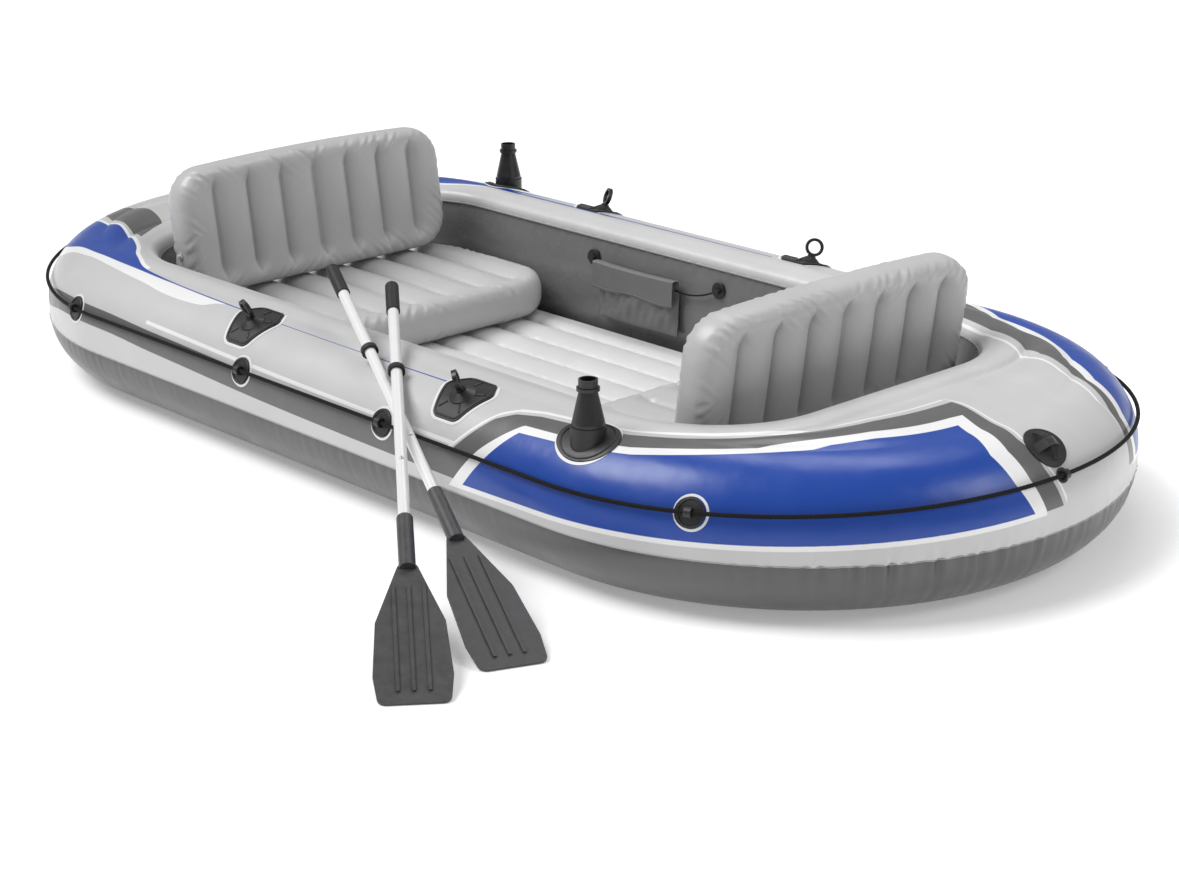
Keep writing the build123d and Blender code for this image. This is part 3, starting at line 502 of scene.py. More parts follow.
    colour = (*deckPrint["film"], 1)
    for mask, paint in ((either(fineOver, either(fineLow, fineDown)), "white"), (stripe, "grey"),
                        (either(band, bandPort), "grey"), (borders, "white"), (panels, "blue"),
                        (patch, "grey"), (either(sweep, halo), "white"), (leaf, "blue")):
        colour = mixColour(tree, mask, colour, (*deckPrint[paint], 1))
    return colour


deckFilm = filmMaterial("printedDeckFilm", (0.5, 0.5, 0.5), 0.34, swellHeight=0.0016, coat=0.08, paint=paintDeck)
darkFilm = filmMaterial("darkHullFilm", (0.105, 0.105, 0.105), 0.36, swellHeight=0.0015, coat=0.06)
wallFilm = filmMaterial("cockpitWallFilm", (0.17, 0.17, 0.172), 0.27, swellHeight=0.0034, coat=0.25)
floorFilm = filmMaterial("floorFilm", (0.63, 0.63, 0.63), 0.42, swellHeight=0.0012)
seatFilm = filmMaterial("seatFilm", (0.50, 0.50, 0.50), 0.38, swellHeight=0.0015, coat=0.08)
weldFilm = filmMaterial("weldBead", (0.34, 0.34, 0.345), 0.42, swellHeight=0.0004)
whitePrint = filmMaterial("whiteOutlinePrint", (0.80, 0.80, 0.81), 0.38, swellHeight=0.0003)
clearFilm = filmMaterial("clearValveFilm", (0.62, 0.62, 0.63), 0.3, swellHeight=0.0002, coat=0.3)
pouchFilm = filmMaterial("pouchFilm", (0.17, 0.17, 0.172), 0.40, pebbleHeight=0.00012, swellHeight=0.0025)
blackMould = mouldMaterial("blackMoulding", (0.013, 0.013, 0.014), 0.36, coat=0.1)
patchRubber = mouldMaterial("patchRubber", (0.016, 0.016, 0.017), 0.42, coat=0.08)
gripRubber = mouldMaterial("gripRubber", (0.010, 0.010, 0.010), 0.55)
bladePlastic = mouldMaterial("bladePlastic", (0.050, 0.050, 0.052), 0.44, speckleHeight=0.0002)
shaftPaint = mouldMaterial("shaftEnamel", (0.80, 0.80, 0.805), 0.26, speckleHeight=0.00002, coat=0.3,
                           toneSpread=0.015)
buttonSteel = mouldMaterial("buttonSteel", (0.62, 0.62, 0.63), 0.28, speckleHeight=0.00003, metallic=1.0,
                            toneSpread=0.05)
ropeBraid = braidMaterial("blackRopeBraid", (0.006, 0.006, 0.006), 120.0, 4.0)
stringBraid = braidMaterial("pouchStringBraid", (0.014, 0.014, 0.014), 220.0, 4.0)
strapWeave, tree, shader = startMaterial("handleWebbing", 0.7, sheen=0.2)
place = addNode(tree, "ShaderNodeTexCoord").outputs["Object"]
wave = addNode(tree, "ShaderNodeTexWave", wave_type="BANDS", bands_direction="Y")
wave.inputs["Scale"].default_value = 130.0
wave.inputs["Distortion"].default_value = 0.6
tree.links.new(place, wave.inputs["Vector"])
# painted shade and highlight: the tone follows the bands' bump height, darker in the grooves and brighter on the ribs
webbingRibShade = ramp(tree, wave.outputs["Fac"], 0, 1, 0.6, 1.6)
feed(tree, shader.inputs["Base Color"], scaleColour(tree, (0.016, 0.016, 0.016, 1), webbingRibShade))
feed(tree, shader.inputs["Normal"], bumpFrom(tree, calc(tree, "MULTIPLY", wave.outputs["Fac"], 0.0005)))
print("materials made")


# ---- hull
hullSizes = {
    "length": 3.15, "width": 1.5, "height": 0.33, "shoulder": 0.15, "seam": 0.14,
    "cockpitLength": 2.16, "cockpitWidth": 1.0, "cockpitCorner": 0.26, "rim": 0.03,
    "wallBulge": 0.022, "bulgeMiddle": 0.159, "bulgeHalf": 0.135,
    "creaseFromRim": 0.07, "deckCrown": 0.014, "innerCrown": 0.006, "creaseDepth": 0.0065,
    "columns": 1240, "puckerDepth": 0.0075, "puckerLength": 0.034, "puckerPull": 0.4,
}
halfStraight = (hullSizes["length"] - hullSizes["width"]) / 2
outerRadius = hullSizes["width"] / 2
shoulder = hullSizes["shoulder"]
arcCentre = outerRadius - shoulder
halfRound = halfStraight + outerRadius * np.pi / 2
sideRise = hullSizes["height"] - shoulder - hullSizes["seam"]
shoulderGirth = sideRise + shoulder * np.pi / 2


def pathAt(along, side):
    # centre and outward direction of the hull's section at a length along one side; side -1 is starboard
    past = np.clip(np.abs(along) - halfStraight, 0, None) / outerRadius
    outX, outY = np.sign(along) * np.sin(past), side * np.cos(past)
    return np.clip(along, -halfStraight, halfStraight), outX, outY


def hullPoint(along, girth, side, lift=0.0):
    # the outside of the hull at a length and a girth above the seam: side, shoulder, then level deck
    along, girth = np.broadcast_arrays(np.asarray(along, float), np.asarray(girth, float))
    centreX, outX, outY = pathAt(along, side)
    turn = np.clip((shoulderGirth - girth) / shoulder, 0, np.pi / 2)
    across = arcCentre + shoulder * np.sin(turn) - np.maximum(girth - shoulderGirth, 0)
    height = hullSizes["seam"] + np.clip(girth, None, sideRise) + shoulder * np.cos(turn)
    normal = np.stack([outX * np.sin(turn), outY * np.sin(turn), np.cos(turn)], axis=-1)
    return np.stack([centreX + outX * across, outY * across, height], axis=-1) + lift * normal


columns = hullSizes["columns"]
walk = np.linspace(-halfRound, 3 * halfRound, columns, endpoint=False)
hullSide = np.where(walk < halfRound, -1.0, 1.0)
hullAlong = np.where(walk < halfRound, walk, 2 * halfRound - walk)
centreX, outX, outY = pathAt(hullAlong, hullSide)
endWeight = smoothStep(0.35, 0.85, np.abs(outX))
puckers = ripple(walk, hullSizes["puckerLength"], 1.7) * (0.6 + 0.4 * np.sin(walk * 5.1)) - hullSizes["puckerPull"]
puckerDepth = hullSizes["puckerDepth"] * (0.10 + 0.9 * endWeight)

# where a line straight in from each column meets the outer edge of the cockpit's rim
rimOff = hullSizes["rim"]
rimX, rimY = hullSizes["cockpitLength"] / 2 + rimOff, hullSizes["cockpitWidth"] / 2 + rimOff
rimCorner = hullSizes["cockpitCorner"] + rimOff
reachWall = (rimX - halfStraight) / np.maximum(np.abs(outX), 1e-9)
cornerGap = halfStraight - (rimX - rimCorner)
slope = cornerGap * np.abs(outX) - (rimY - rimCorner) * np.abs(outY)
rest = cornerGap**2 + (rimY - rimCorner) ** 2 - rimCorner**2
reachCorner = -slope + np.sqrt(slope**2 - rest)
reach = np.where(np.abs(reachWall * outY) <= rimY - rimCorner, reachWall, reachCorner)
reach = np.where(np.abs(outX) < 1e-6, rimY, reach)


def deckRelief(x, y, deckWidth):
    # the deck's crown: low by the rim, a crease over the inner wall, then a wider crown to the shoulder
    fromRim = -roundedBox(x, y, rimX, rimY, rimCorner)
    crease = hullSizes["creaseFromRim"]
    wide = smoothStep(0.02, 0.12, deckWidth - crease)
    inner = hullSizes["innerCrown"] * np.sin(np.pi * np.clip(fromRim / crease, 0, 1))
    pastCrease = np.clip((fromRim - crease) / np.maximum(deckWidth - crease, 1e-3), 0, 1)
    outer = hullSizes["deckCrown"] * wide * np.sin(np.pi * pastCrease) ** 2
    groove = hullSizes["creaseDepth"] * wide * np.exp(-(((fromRim - crease) / 0.008) ** 2))
    swellWave = 0.0012 * wide * np.sin(9 * x + 4 * y) * np.sin(7 * y - 3 * x)
    relief = inner + outer - groove + swellWave * np.clip(fromRim / 0.05, 0, 1)
    for valveX, valveY in ((-1.300, 0.0), (-1.144, 0.090)):
        relief = relief * smoothStep(0.030, 0.085, np.hypot(x - valveX, y - valveY))
    return relief


# top film: up the side, round the shoulder, across the deck and over the rim
sideRows, archRows, deckRows, lipRows = 6, 22, 30, 9
girthRows = np.concatenate([
    np.linspace(0, sideRise, sideRows)[:-1], np.linspace(sideRise, shoulderGirth, archRows)])
sidePoints = hullPoint(hullAlong[:, None], girthRows[None, :], hullSide[:, None])
fade = np.exp(-girthRows / 0.022)[None, :, None]
outward = np.stack([outX, outY, np.zeros(columns)], axis=1)[:, None, :]
sidePoints = sidePoints + outward * (puckerDepth * puckers)[:, None, None] * 0.55 * fade
share = np.linspace(0, 1, deckRows)[1:][None, :]
across = arcCentre + (reach[:, None] - arcCentre) * share
deckX, deckY = centreX[:, None] + outX[:, None] * across, outY[:, None] * across
relief = deckRelief(deckX, deckY, (arcCentre - reach)[:, None] + 0 * across)
deckPoints = np.stack([deckX, deckY, hullSizes["height"] + relief], axis=-1)
rimPointX, rimPointY = deckX[:, -1], deckY[:, -1]
pullX = np.sign(rimPointX) * np.maximum(np.abs(rimPointX) - (rimX - rimCorner), 0)
pullY = np.sign(rimPointY) * np.maximum(np.abs(rimPointY) - (rimY - rimCorner), 0)
rimOut = unitRows(np.stack([pullX, pullY], axis=1))
roll = np.linspace(0, np.pi / 2, lipRows)[1:]
lipPoints = np.stack([
    rimPointX[:, None] - rimOut[:, :1] * rimOff * np.sin(roll),
    rimPointY[:, None] - rimOut[:, 1:] * rimOff * np.sin(roll),
    np.broadcast_to(hullSizes["height"] - rimOff * (1 - np.cos(roll)), (columns, lipRows - 1)),
], axis=-1)
topPoints = np.concatenate([sidePoints, deckPoints, lipPoints], axis=1)
deckGirth = shoulderGirth + (arcCentre - across)
lipGirth = deckGirth[:, -1:] + rimOff * roll[None, :]
topGirth = np.concatenate([np.broadcast_to(girthRows, (columns, len(girthRows))), deckGirth, lipGirth], axis=1)
topUv = np.stack([np.broadcast_to(hullAlong[:, None], topGirth.shape), topGirth], axis=2)
topFilm = gridPiece("hullTopFilm", topPoints, deckFilm, "hull", uv=topUv, closeColumns=True,
                    facing=(0, 0, 1))
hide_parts("hull_top_skin", "hull_seam_welt")

# bottom film: down from the seam, under and in to the cockpit's foot
turnRows = np.linspace(np.arcsin((shoulder - hullSizes["seam"]) / shoulder), np.pi / 2, 26)[None, :]
low = arcCentre + shoulder * np.cos(turnRows)
bottomHeight = shoulder - shoulder * np.sin(turnRows)
drop = (turnRows - turnRows[0, 0]) * shoulder
pinch = (puckerDepth * puckers)[:, None] * np.exp(-drop / 0.070) * (1 + 0.4 * np.sin(drop * 70))
low = low + pinch - 0.0020 * np.exp(-drop / 0.006)
bottomPoints = np.stack([centreX[:, None] + outX[:, None] * low, outY[:, None] * low,
                         np.broadcast_to(bottomHeight, low.shape)], axis=-1)
underShare = np.linspace(0, 1, 6)[1:][None, :]
under = arcCentre + (reach[:, None] - rimOff * 0.9 - arcCentre) * underShare
underPoints = np.stack([centreX[:, None] + outX[:, None] * under, outY[:, None] * under, 0 * under], axis=-1)
bottomFilm = gridPiece("hullBottomFilm", np.concatenate([bottomPoints, underPoints], axis=1), darkFilm,
                       "hull", closeColumns=True, facing=(0, 0, -1))
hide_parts("hull_bottom_skin")

# the welded seam between them
seamPath = hullPoint(hullAlong, np.zeros(columns), hullSide)
seamPath = seamPath + outward[:, 0] * (puckerDepth * puckers)[:, None] * 0.6
tubePiece("hullSeamBead", seamPath[::2], 0.0016, weldFilm, "hull", around=8, closed=True)

# cockpit wall: swells out between its welds, puckered at both
wallPath, wallOut, wallWalk = roundedPath(
    hullSizes["cockpitLength"] / 2, hullSizes["cockpitWidth"] / 2, hullSizes["cockpitCorner"], 900)
wallHeight = np.linspace(0.303, 0.0, 34)
bulge, bulgeHalf = hullSizes["wallBulge"], hullSizes["bulgeHalf"]
swellRadius = (bulge**2 + bulgeHalf**2) / (2 * bulge)
fromMiddle = np.clip(wallHeight - hullSizes["bulgeMiddle"], -bulgeHalf, bulgeHalf)
swellIn = np.sqrt(swellRadius**2 - fromMiddle**2) - (swellRadius - bulge)
edgeGap = np.minimum(0.303 - wallHeight, wallHeight + 0.01)
wallPucker = 0.0020 * ripple(wallWalk, 0.041, 0.6)[:, None] * np.exp(-edgeGap / 0.028)[None, :]
longWave = 0.0016 * np.sin(wallWalk * 6.3)[:, None] * np.sin(wallHeight * 19)[None, :]
inwards = np.maximum(swellIn[None, :] + wallPucker + longWave, -0.0005)
wallPoints = np.stack([
    wallPath[:, :1] - wallOut[:, :1] * inwards, wallPath[:, 1:] - wallOut[:, 1:] * inwards,
    np.broadcast_to(wallHeight, inwards.shape),
], axis=-1)
wallPiece = gridPiece("cockpitWallFilm", wallPoints, wallFilm, "hull", closeColumns=True,
                      inward=(0, 0, 0.16))
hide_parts("hull_inner_wall", "hull_chamber_baffle")
beadPath = np.column_stack([wallPath - wallOut * 0.0008, np.full(len(wallPath), 0.2995)])
tubePiece("cockpitRimBead", beadPath, 0.0032, weldFilm, "hull", around=8, closed=True)
print("hull made")


# ---- air floor
floorSizes = {
    "length": 2.104, "width": 0.944, "corner": 0.232, "channels": 9, "valley": 0.0625, "crest": 0.0838,
    "edgeRound": 0.030, "columns": 330, "rows": 271, "pucker": 0.0016,
}
halfLong, halfWide = floorSizes["length"] / 2, floorSizes["width"] / 2
acrossFloor = halfWide * np.sin(np.linspace(-1, 1, floorSizes["rows"]) * np.pi / 2 * 0.999)
acrossFloor = 0.5 * acrossFloor + 0.5 * np.linspace(-halfWide, halfWide, floorSizes["rows"])
overCorner = np.maximum(np.abs(acrossFloor) - (halfWide - floorSizes["corner"]), 0)
lengthAt = halfLong - floorSizes["corner"] + np.sqrt(np.maximum(floorSizes["corner"] ** 2 - overCorner**2, 0))
stretch = np.linspace(-1, 1, floorSizes["columns"])
stretch = 0.72 * stretch + 0.28 * np.sin(stretch * np.pi / 2)
floorX = stretch[:, None] * lengthAt[None, :]
floorY = np.broadcast_to(acrossFloor, floorX.shape)
insideFloor = np.maximum(roundedBox(floorX, floorY, halfLong, halfWide, floorSizes["corner"]), 0)
pitch = floorSizes["width"] / floorSizes["channels"]
phase = (floorY + halfWide) / pitch
acrossChannel = 2 * (phase - np.floor(phase)) - 1
crown = np.sqrt(np.maximum(1 - acrossChannel**2, 0)) ** 0.85
endFade = smoothStep(0.015, 0.10, np.minimum(insideFloor, lengthAt[None, :] - np.abs(floorX)))
seamDip = 0.0030 * np.exp(-((1 - np.abs(acrossChannel)) / 0.05) ** 2)
levelEnd = 0.55
rise = crown * endFade + levelEnd * (1 - endFade)
floorZ = floorSizes["valley"] + (floorSizes["crest"] - floorSizes["valley"]) * rise - seamDip * endFade
crumple = ripple(floorX + 0.13 * np.floor(phase), 0.052, 0.9) * np.exp(-((1 - np.abs(acrossChannel)) / 0.35))
floorZ = floorZ + floorSizes["pucker"] * crumple * endFade
roundGap = np.clip(1 - insideFloor / floorSizes["edgeRound"], 0, 1)
floorZ = floorZ - floorSizes["edgeRound"] * (1 - np.sqrt(1 - roundGap**2 * 0.98))
floorPoints = np.stack([floorX, floorY, np.minimum(floorZ, floorSizes["crest"])], axis=-1)
airFloor = gridPiece("airFloorFilm", floorPoints, floorFilm, "hull", facing=(0, 0, 1))
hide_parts("floor_mattress", "floor_beams")
# its side wall, down to the floor sheet
sidePath, sideOut, _ = roundedPath(halfLong, halfWide, floorSizes["corner"], 620)
sideZ = np.linspace(0.040, 0.003, 8)
sideSwell = 0.003 * np.sin(np.linspace(0, np.pi, 8))
sideGrid = np.stack([sidePath[:, :1] + sideOut[:, :1] * sideSwell, sidePath[:, 1:] + sideOut[:, 1:] * sideSwell,
                     np.broadcast_to(sideZ, (620, 8))], axis=-1)
gridPiece("airFloorSide", sideGrid, floorFilm, "hull", closeColumns=True)
print("floor made")


# ---- seats
seatSizes = {
    "front": 0.430, "back": 1.035, "halfWidth": 0.464, "bottom": 0.0846, "thick": 0.110,
    "frontCorner": 0.150, "backCorner": 0.218, "round": 0.052, "channels": 8, "channelDepth": 0.031,
    "rest": {"foot": 0.850, "footHeight": 0.2051, "width": 0.850, "height": 0.340, "thick": 0.098, "corner": 0.090,
             "lean": 8.0, "round": 0.046, "channels": 8, "channelDepth": 0.034, "arch": 0.012},
    "pucker": 0.0062, "puckerLength": 0.033,
}


def pillowSheets(halfA, halfB, cornerLow, cornerHigh, halfThick, roundOff, channels, depthTop, depthFoot,
                 pucker, puckerLength, seed, arch=0.0):
    # two crowned sheets joined at their outline: thickness follows a rounded edge, less the dips
    # of the welds between channels, plus puckers that die away from the outline; arch lowers the
    # far edge towards its ends
    countA, countB = 300, 128
    a = halfA * np.sin(np.linspace(-1, 1, countA) * np.pi / 2)
    a = 0.35 * a + 0.65 * np.linspace(-halfA, halfA, countA)

    def edgeAt(corner):
        over = np.maximum(np.abs(a) - (halfA - corner), 0)
        return halfB - corner + np.sqrt(np.maximum(corner**2 - over**2, 0))

    low, high = -edgeAt(cornerLow), edgeAt(cornerHigh)
    v = np.sin(np.linspace(-1, 1, countB) * np.pi / 2)
    v = 0.6 * v + 0.4 * np.linspace(-1, 1, countB)
    b = (low + high)[:, None] / 2 + (high - low)[:, None] / 2 * v[None, :]
    a = np.broadcast_to(a[:, None], b.shape)
    corner = np.where(b > 0, cornerHigh, cornerLow)
    inside = np.maximum(roundedBox(a, b, halfA, halfB, corner), 0)
    inside[:, 0] = inside[:, -1] = 0
    inside[0, :] = inside[-1, :] = 0
    edge = np.clip(1 - inside / roundOff, 0, 1)
    body = (1 - edge**2.5) ** (1 / 2.5)
    pitch = 2 * halfA / channels
    phase = (a + halfA) / pitch
    across = 2 * (phase - np.floor(phase)) - 1
    hollow = 1 - np.sqrt(np.maximum(1 - np.abs(across) ** 2.0, 0))
    fromEnds = np.minimum(b - low[:, None], high[:, None] - b)
    fade = smoothStep(0.020, 0.075, fromEnds) * smoothStep(0.25, 0.9, np.minimum(phase, channels - phase))
    weldDip = np.exp(-(((1 - np.abs(across)) / 0.045) ** 2))
    around = np.where(np.abs(b) / halfB > np.abs(a) / halfA, a, b)
    foldWalk = np.abs(a) - np.abs(b) + 0.7 * seed + 0.011 * np.sign(a) + 0.007 * np.sign(b)
    fadeIn = np.exp(-inside / 0.028) * smoothStep(0.0, 0.008, inside) * (0.65 + 0.35 * np.sin(around * 23 + seed))
    foldDepth = pucker * ripple(foldWalk, puckerLength, seed) * fadeIn
    crownAll = 0.004 * (1 - (b / halfB) ** 2) * (1 - (a / halfA) ** 2)
    inner = smoothStep(0, 0.03, inside)
    top = halfThick * body + (crownAll - (depthTop * hollow + 0.0025 * weldDip) * fade) * inner + foldDepth
    foot = halfThick * body - (depthFoot * hollow + 0.002 * weldDip) * fade * inner + foldDepth * 0.7
    top[inside <= 0] = 0
    foot[inside <= 0] = 0
    b = b - arch * (a / halfA) ** 2 * (1 + b / halfB) / 2
    sheetTop = np.stack([a, b, top], axis=-1)
    sheetFoot = np.stack([a, b, -foot], axis=-1)[:, ::-1]
    return np.concatenate([sheetTop, sheetFoot[:, 1:-1]], axis=1)


def placePiece(grid, origin, wayA, wayB, wayC):
    frameRows = np.array([wayA, wayB, wayC], float)
    return np.array(origin, float) + grid @ frameRows


for seatName, end in (("stern", -1), ("bow", 1)):
    halfB = (seatSizes["back"] - seatSizes["front"]) / 2
    cushion = pillowSheets(
        seatSizes["halfWidth"], halfB, seatSizes["frontCorner"], seatSizes["backCorner"], seatSizes["thick"] / 2,
        seatSizes["round"], seatSizes["channels"], seatSizes["channelDepth"], 0.004,
        seatSizes["pucker"], seatSizes["puckerLength"], 1.1 if end < 0 else 2.2)
    middleX = end * (seatSizes["front"] + seatSizes["back"]) / 2
    middle = (middleX, 0, seatSizes["bottom"] + seatSizes["thick"] / 2)
    placed = placePiece(cushion, middle, (0, 1, 0), (end, 0, 0), (0, 0, 1))
    piece = gridPiece(f"seatCushion_{seatName}", placed, seatFilm, f"seat_{seatName}",
                      closeRows=True, weld=True)
    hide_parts(f"seat_cushion_{seatName}")

    rest = seatSizes["rest"]
    lean = np.radians(rest["lean"])
    upWay = np.array([end * np.sin(lean), 0, np.cos(lean)])
    awayWay = np.array([end * np.cos(lean), 0, -np.sin(lean)])
    back = pillowSheets(
        rest["width"] / 2, rest["height"] / 2, rest["corner"], rest["corner"], rest["thick"] / 2, rest["round"],
        rest["channels"], rest["channelDepth"], rest["channelDepth"] * 0.9,
        seatSizes["pucker"] * 1.15, seatSizes["puckerLength"], 3.1 if end < 0 else 4.3, rest["arch"])
    origin = np.array([end * rest["foot"], 0, rest["footHeight"]])
    origin = origin + upWay * rest["height"] / 2 + awayWay * rest["thick"] / 2
    placed = placePiece(back, origin, (0, 1, 0), upWay, awayWay)
    piece = gridPiece(f"backrestPad_{seatName}", placed, seatFilm, f"backrest_{seatName}",
                      closeRows=True, weld=True)
    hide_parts(f"backrest_{seatName}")
print("seats made")


# ---- printed outlines and moulded beads round the patches
def roundedPolygon(corners, radius, steps=9):
    # a polygon whose corners are arcs: each arc is square to the sides that it joins
    corners = np.array(corners, float)
    before, after = unitRows(np.roll(corners, 1, axis=0) - corners), unitRows(np.roll(corners, -1, axis=0) - corners)
    half = np.arccos(np.clip((before * after).sum(axis=1), -1, 1)) / 2
    start = corners + before * (radius / np.tan(half))[:, None]
    stop = corners + after * (radius / np.tan(half))[:, None]
    centre = corners + unitRows(before + after) * (radius / np.sin(half))[:, None]
    mix = np.linspace(0, 1, steps)[None, :, None]
    spokes = unitRows((start - centre)[:, None] * (1 - mix) + (stop - centre)[:, None] * mix)
    return (centre[:, None] + radius * spokes).reshape(-1, 2)


def evenLoop(loop, count):
    # the same closed line through evenly spaced points
    closedLoop = np.vstack([loop, loop[:1]])
    walked = np.concatenate([[0], np.cumsum(np.linalg.norm(np.diff(closedLoop, axis=0), axis=1))])
    at = np.linspace(0, walked[-1], count, endpoint=False)
    return np.column_stack([np.interp(at, walked, closedLoop[:, 0]), np.interp(at, walked, closedLoop[:, 1])])


def loopNormals(loop):
    ahead = unitRows(np.roll(loop, -1, axis=0) - np.roll(loop, 1, axis=0))
    normal = np.column_stack([ahead[:, 1], -ahead[:, 0]])
    return normal if ((loop - loop.mean(axis=0)) * normal).sum() > 0 else -normal


def outlinePrint(name, loop, side, inner, outer):
    # a flat printed ring on the hull, between two distances outside the patch
    normal = loopNormals(loop)
    offsets = np.linspace(inner, outer, 4)
    flat = loop[:, None, :] + normal[:, None, :] * offsets[None, :, None]
    points = hullPoint(flat[..., 0], flat[..., 1], side, 0.0007)
    return gridPiece(name, points, whitePrint, "hull", closeColumns=True, facing=(0, side * 0.4, 1))


def patchBead(name, loop, side, inset, radius, material):
    flat = loop - loopNormals(loop) * inset
    path = hullPoint(flat[:, 0], flat[:, 1], side, 0.0032)
    return tubePiece(name, path, radius, material, "hull", around=8, closed=True)


patchSizes = {
    "oarlockPlaces": {"starboard_stern": (-0.270, -1), "starboard_bow": (0.487, -1),
                      "port_bow": (0.270, 1), "port_stern": (-0.487, 1)},
    "oarlockHalf": 0.075, "oarlockDepth": 0.066, "oarlockRound": 0.022, "tilt": 24.0,
    "rodTurn": 4.4, "rodHalf": (0.075, 0.059), "grommetRadius": 0.031,
    "ringGap": 0.0025, "ringWide": 0.0065,
}
patchGirth = sideRise + shoulder * np.radians(90 - patchSizes["tilt"])
ringInner, ringOuter = patchSizes["ringGap"], patchSizes["ringGap"] + patchSizes["ringWide"]
half, deep = patchSizes["oarlockHalf"], patchSizes["oarlockDepth"]
hexagon = evenLoop(roundedPolygon(
    [(-half, deep / 3), (-half / 2, deep), (half / 2, deep), (half, deep / 3), (half / 2, -deep), (-half / 2, -deep)],
    patchSizes["oarlockRound"]), 120)
for name, (placeX, side) in patchSizes["oarlockPlaces"].items():
    loop = hexagon + (placeX, patchGirth)
    outlinePrint(f"oarlockOutline_{name}", loop, side, ringInner, ringOuter)
    patchBead(f"oarlockBead_{name}", loop, side, 0.005, 0.0022, patchRubber)
    # ribs from the boss out to the bead
    for index, angle in enumerate(np.radians((18, 90, 162, 234, 306))):
        stretchOut = np.linspace(0.034, 0.056, 12)[:, None]
        ribFlat = np.array([[placeX, patchGirth]]) + stretchOut * np.array([[np.cos(angle), np.sin(angle)]])
        ribPath = hullPoint(ribFlat[:, 0], ribFlat[:, 1], side, 0.0032)
        tubePiece(f"oarlockRib_{name}_{index}", ribPath, 0.0024, patchRubber, "hull", around=8)
for name, end, side in (("starboard", 1, -1), ("port", -1, 1)):
    angle = np.linspace(0, 2 * np.pi, 120, endpoint=False)
    placeX = end * (halfStraight + outerRadius * np.radians(patchSizes["rodTurn"]))
    halfAlong, halfUp = patchSizes["rodHalf"]
    loop = np.column_stack([placeX + halfAlong * np.cos(angle), patchGirth + halfUp * np.sin(angle)])
    outlinePrint(f"rodHolderOutline_{name}", loop, side, ringInner, ringOuter)
    patchBead(f"rodHolderBead_{name}", loop, side, 0.005, 0.0022, patchRubber)
print("patch outlines made")


# ---- grab rope, round each side from the stern knot to the bow
ropeRoute = [
    (-1.565, -0.017, 0.255), (-1.565, -0.147, 0.255), (-1.456, -0.422, 0.248), (-1.249, -0.635, 0.241),
    (-0.974, -0.749, 0.234), (-0.676, -0.749, 0.234), (0.676, -0.749, 0.234), (0.974, -0.749, 0.234),
    (1.249, -0.635, 0.241), (1.456, -0.422, 0.248), (1.565, -0.147, 0.255), (1.565, 0.0, 0.255),
]
ropeSizes = {"diameter": 0.009, "grommets": (1.055, 1.770, 2.290, 3.163)}


def smoothRoute(name, route):
    # the centre line of an open spline through the route's own control points
    curve = bpy.data.curves.new(name, "CURVE")
    curve.dimensions = "3D"
    curve.resolution_u = 48
    spline = curve.splines.new("NURBS")
    spline.points.add(len(route) - 1)
    spline.points.foreach_set("co", np.column_stack([np.array(route, float), np.ones(len(route))]).ravel())
    spline.order_u = 3
    spline.use_endpoint_u = True
    holder = bpy.data.objects.new(name, curve)
    bpy.context.scene.collection.objects.link(holder)
    bpy.context.view_layer.update()
    line = bpy.data.meshes.new_from_object(holder.evaluated_get(bpy.context.evaluated_depsgraph_get()))
    points = np.empty(len(line.vertices) * 3)
    line.vertices.foreach_get("co", points)
    bpy.data.objects.remove(holder)
    bpy.data.meshes.remove(line)
    return points.reshape(-1, 3)


def evenLine(points, spacing):
    walked = np.concatenate([[0], np.cumsum(np.linalg.norm(np.diff(points, axis=0), axis=1))])
    at = np.linspace(0, walked[-1], int(walked[-1] / spacing) + 1)
    return np.column_stack([np.interp(at, walked, points[:, i]) for i in range(3)])


for name, side in (("starboard", 1), ("port", -1)):
    route = [(x, y * side, z) for x, y, z in ropeRoute]
    line = evenLine(smoothRoute(f"ropeRoute_{name}", route), 0.0035)
    rope = tubePiece(f"grabRope_{name}", line, ropeSizes["diameter"] / 2, ropeBraid, "hull", around=16)
    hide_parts(f"grab_rope_{name}")
    walked = np.concatenate([[0], np.cumsum(np.linalg.norm(np.diff(line, axis=0), axis=1))])
    # printed ring round each eye of the rope
    for index, station in enumerate(ropeSizes["grommets"]):
        eye = np.array([np.interp(station, walked, line[:, i]) for i in range(3)])
        middleX = np.clip(eye[0], -halfStraight, halfStraight)
        spread = np.hypot(eye[0] - middleX, eye[1])
        turnOut = np.arctan2(abs(eye[0] - middleX), abs(eye[1]))
        along = middleX + np.sign(eye[0]) * outerRadius * turnOut
        tilt = np.arctan2(spread - arcCentre, eye[2] - (hullSizes["height"] - shoulder))
        eyeGirth = sideRise + shoulder * (np.pi / 2 - tilt)
        angle = np.linspace(0, 2 * np.pi, 72, endpoint=False)
        ring = np.column_stack([along + np.zeros(72), eyeGirth + np.zeros(72)])
        ring = ring + patchSizes["grommetRadius"] * np.column_stack([np.cos(angle), np.sin(angle)])
        outlinePrint(f"ropeEyeOutline_{name}_{index}", ring, -side, 0.001, 0.0065)
        patchBead(f"ropeEyeBead_{name}_{index}", ring, -side, 0.004, 0.0018, patchRubber)
print("rope made")


# ---- gear pouch on the port wall
pouchSizes = {"middleX": -0.150, "width": 0.300, "top": 0.252, "foot": 0.102, "back": 0.470, "thick": 0.024,
              "flapDrop": 0.064, "string": 0.0044}
u = np.linspace(-1, 1, 140)[:, None]
v = np.linspace(0, 1, 70)[None, :]
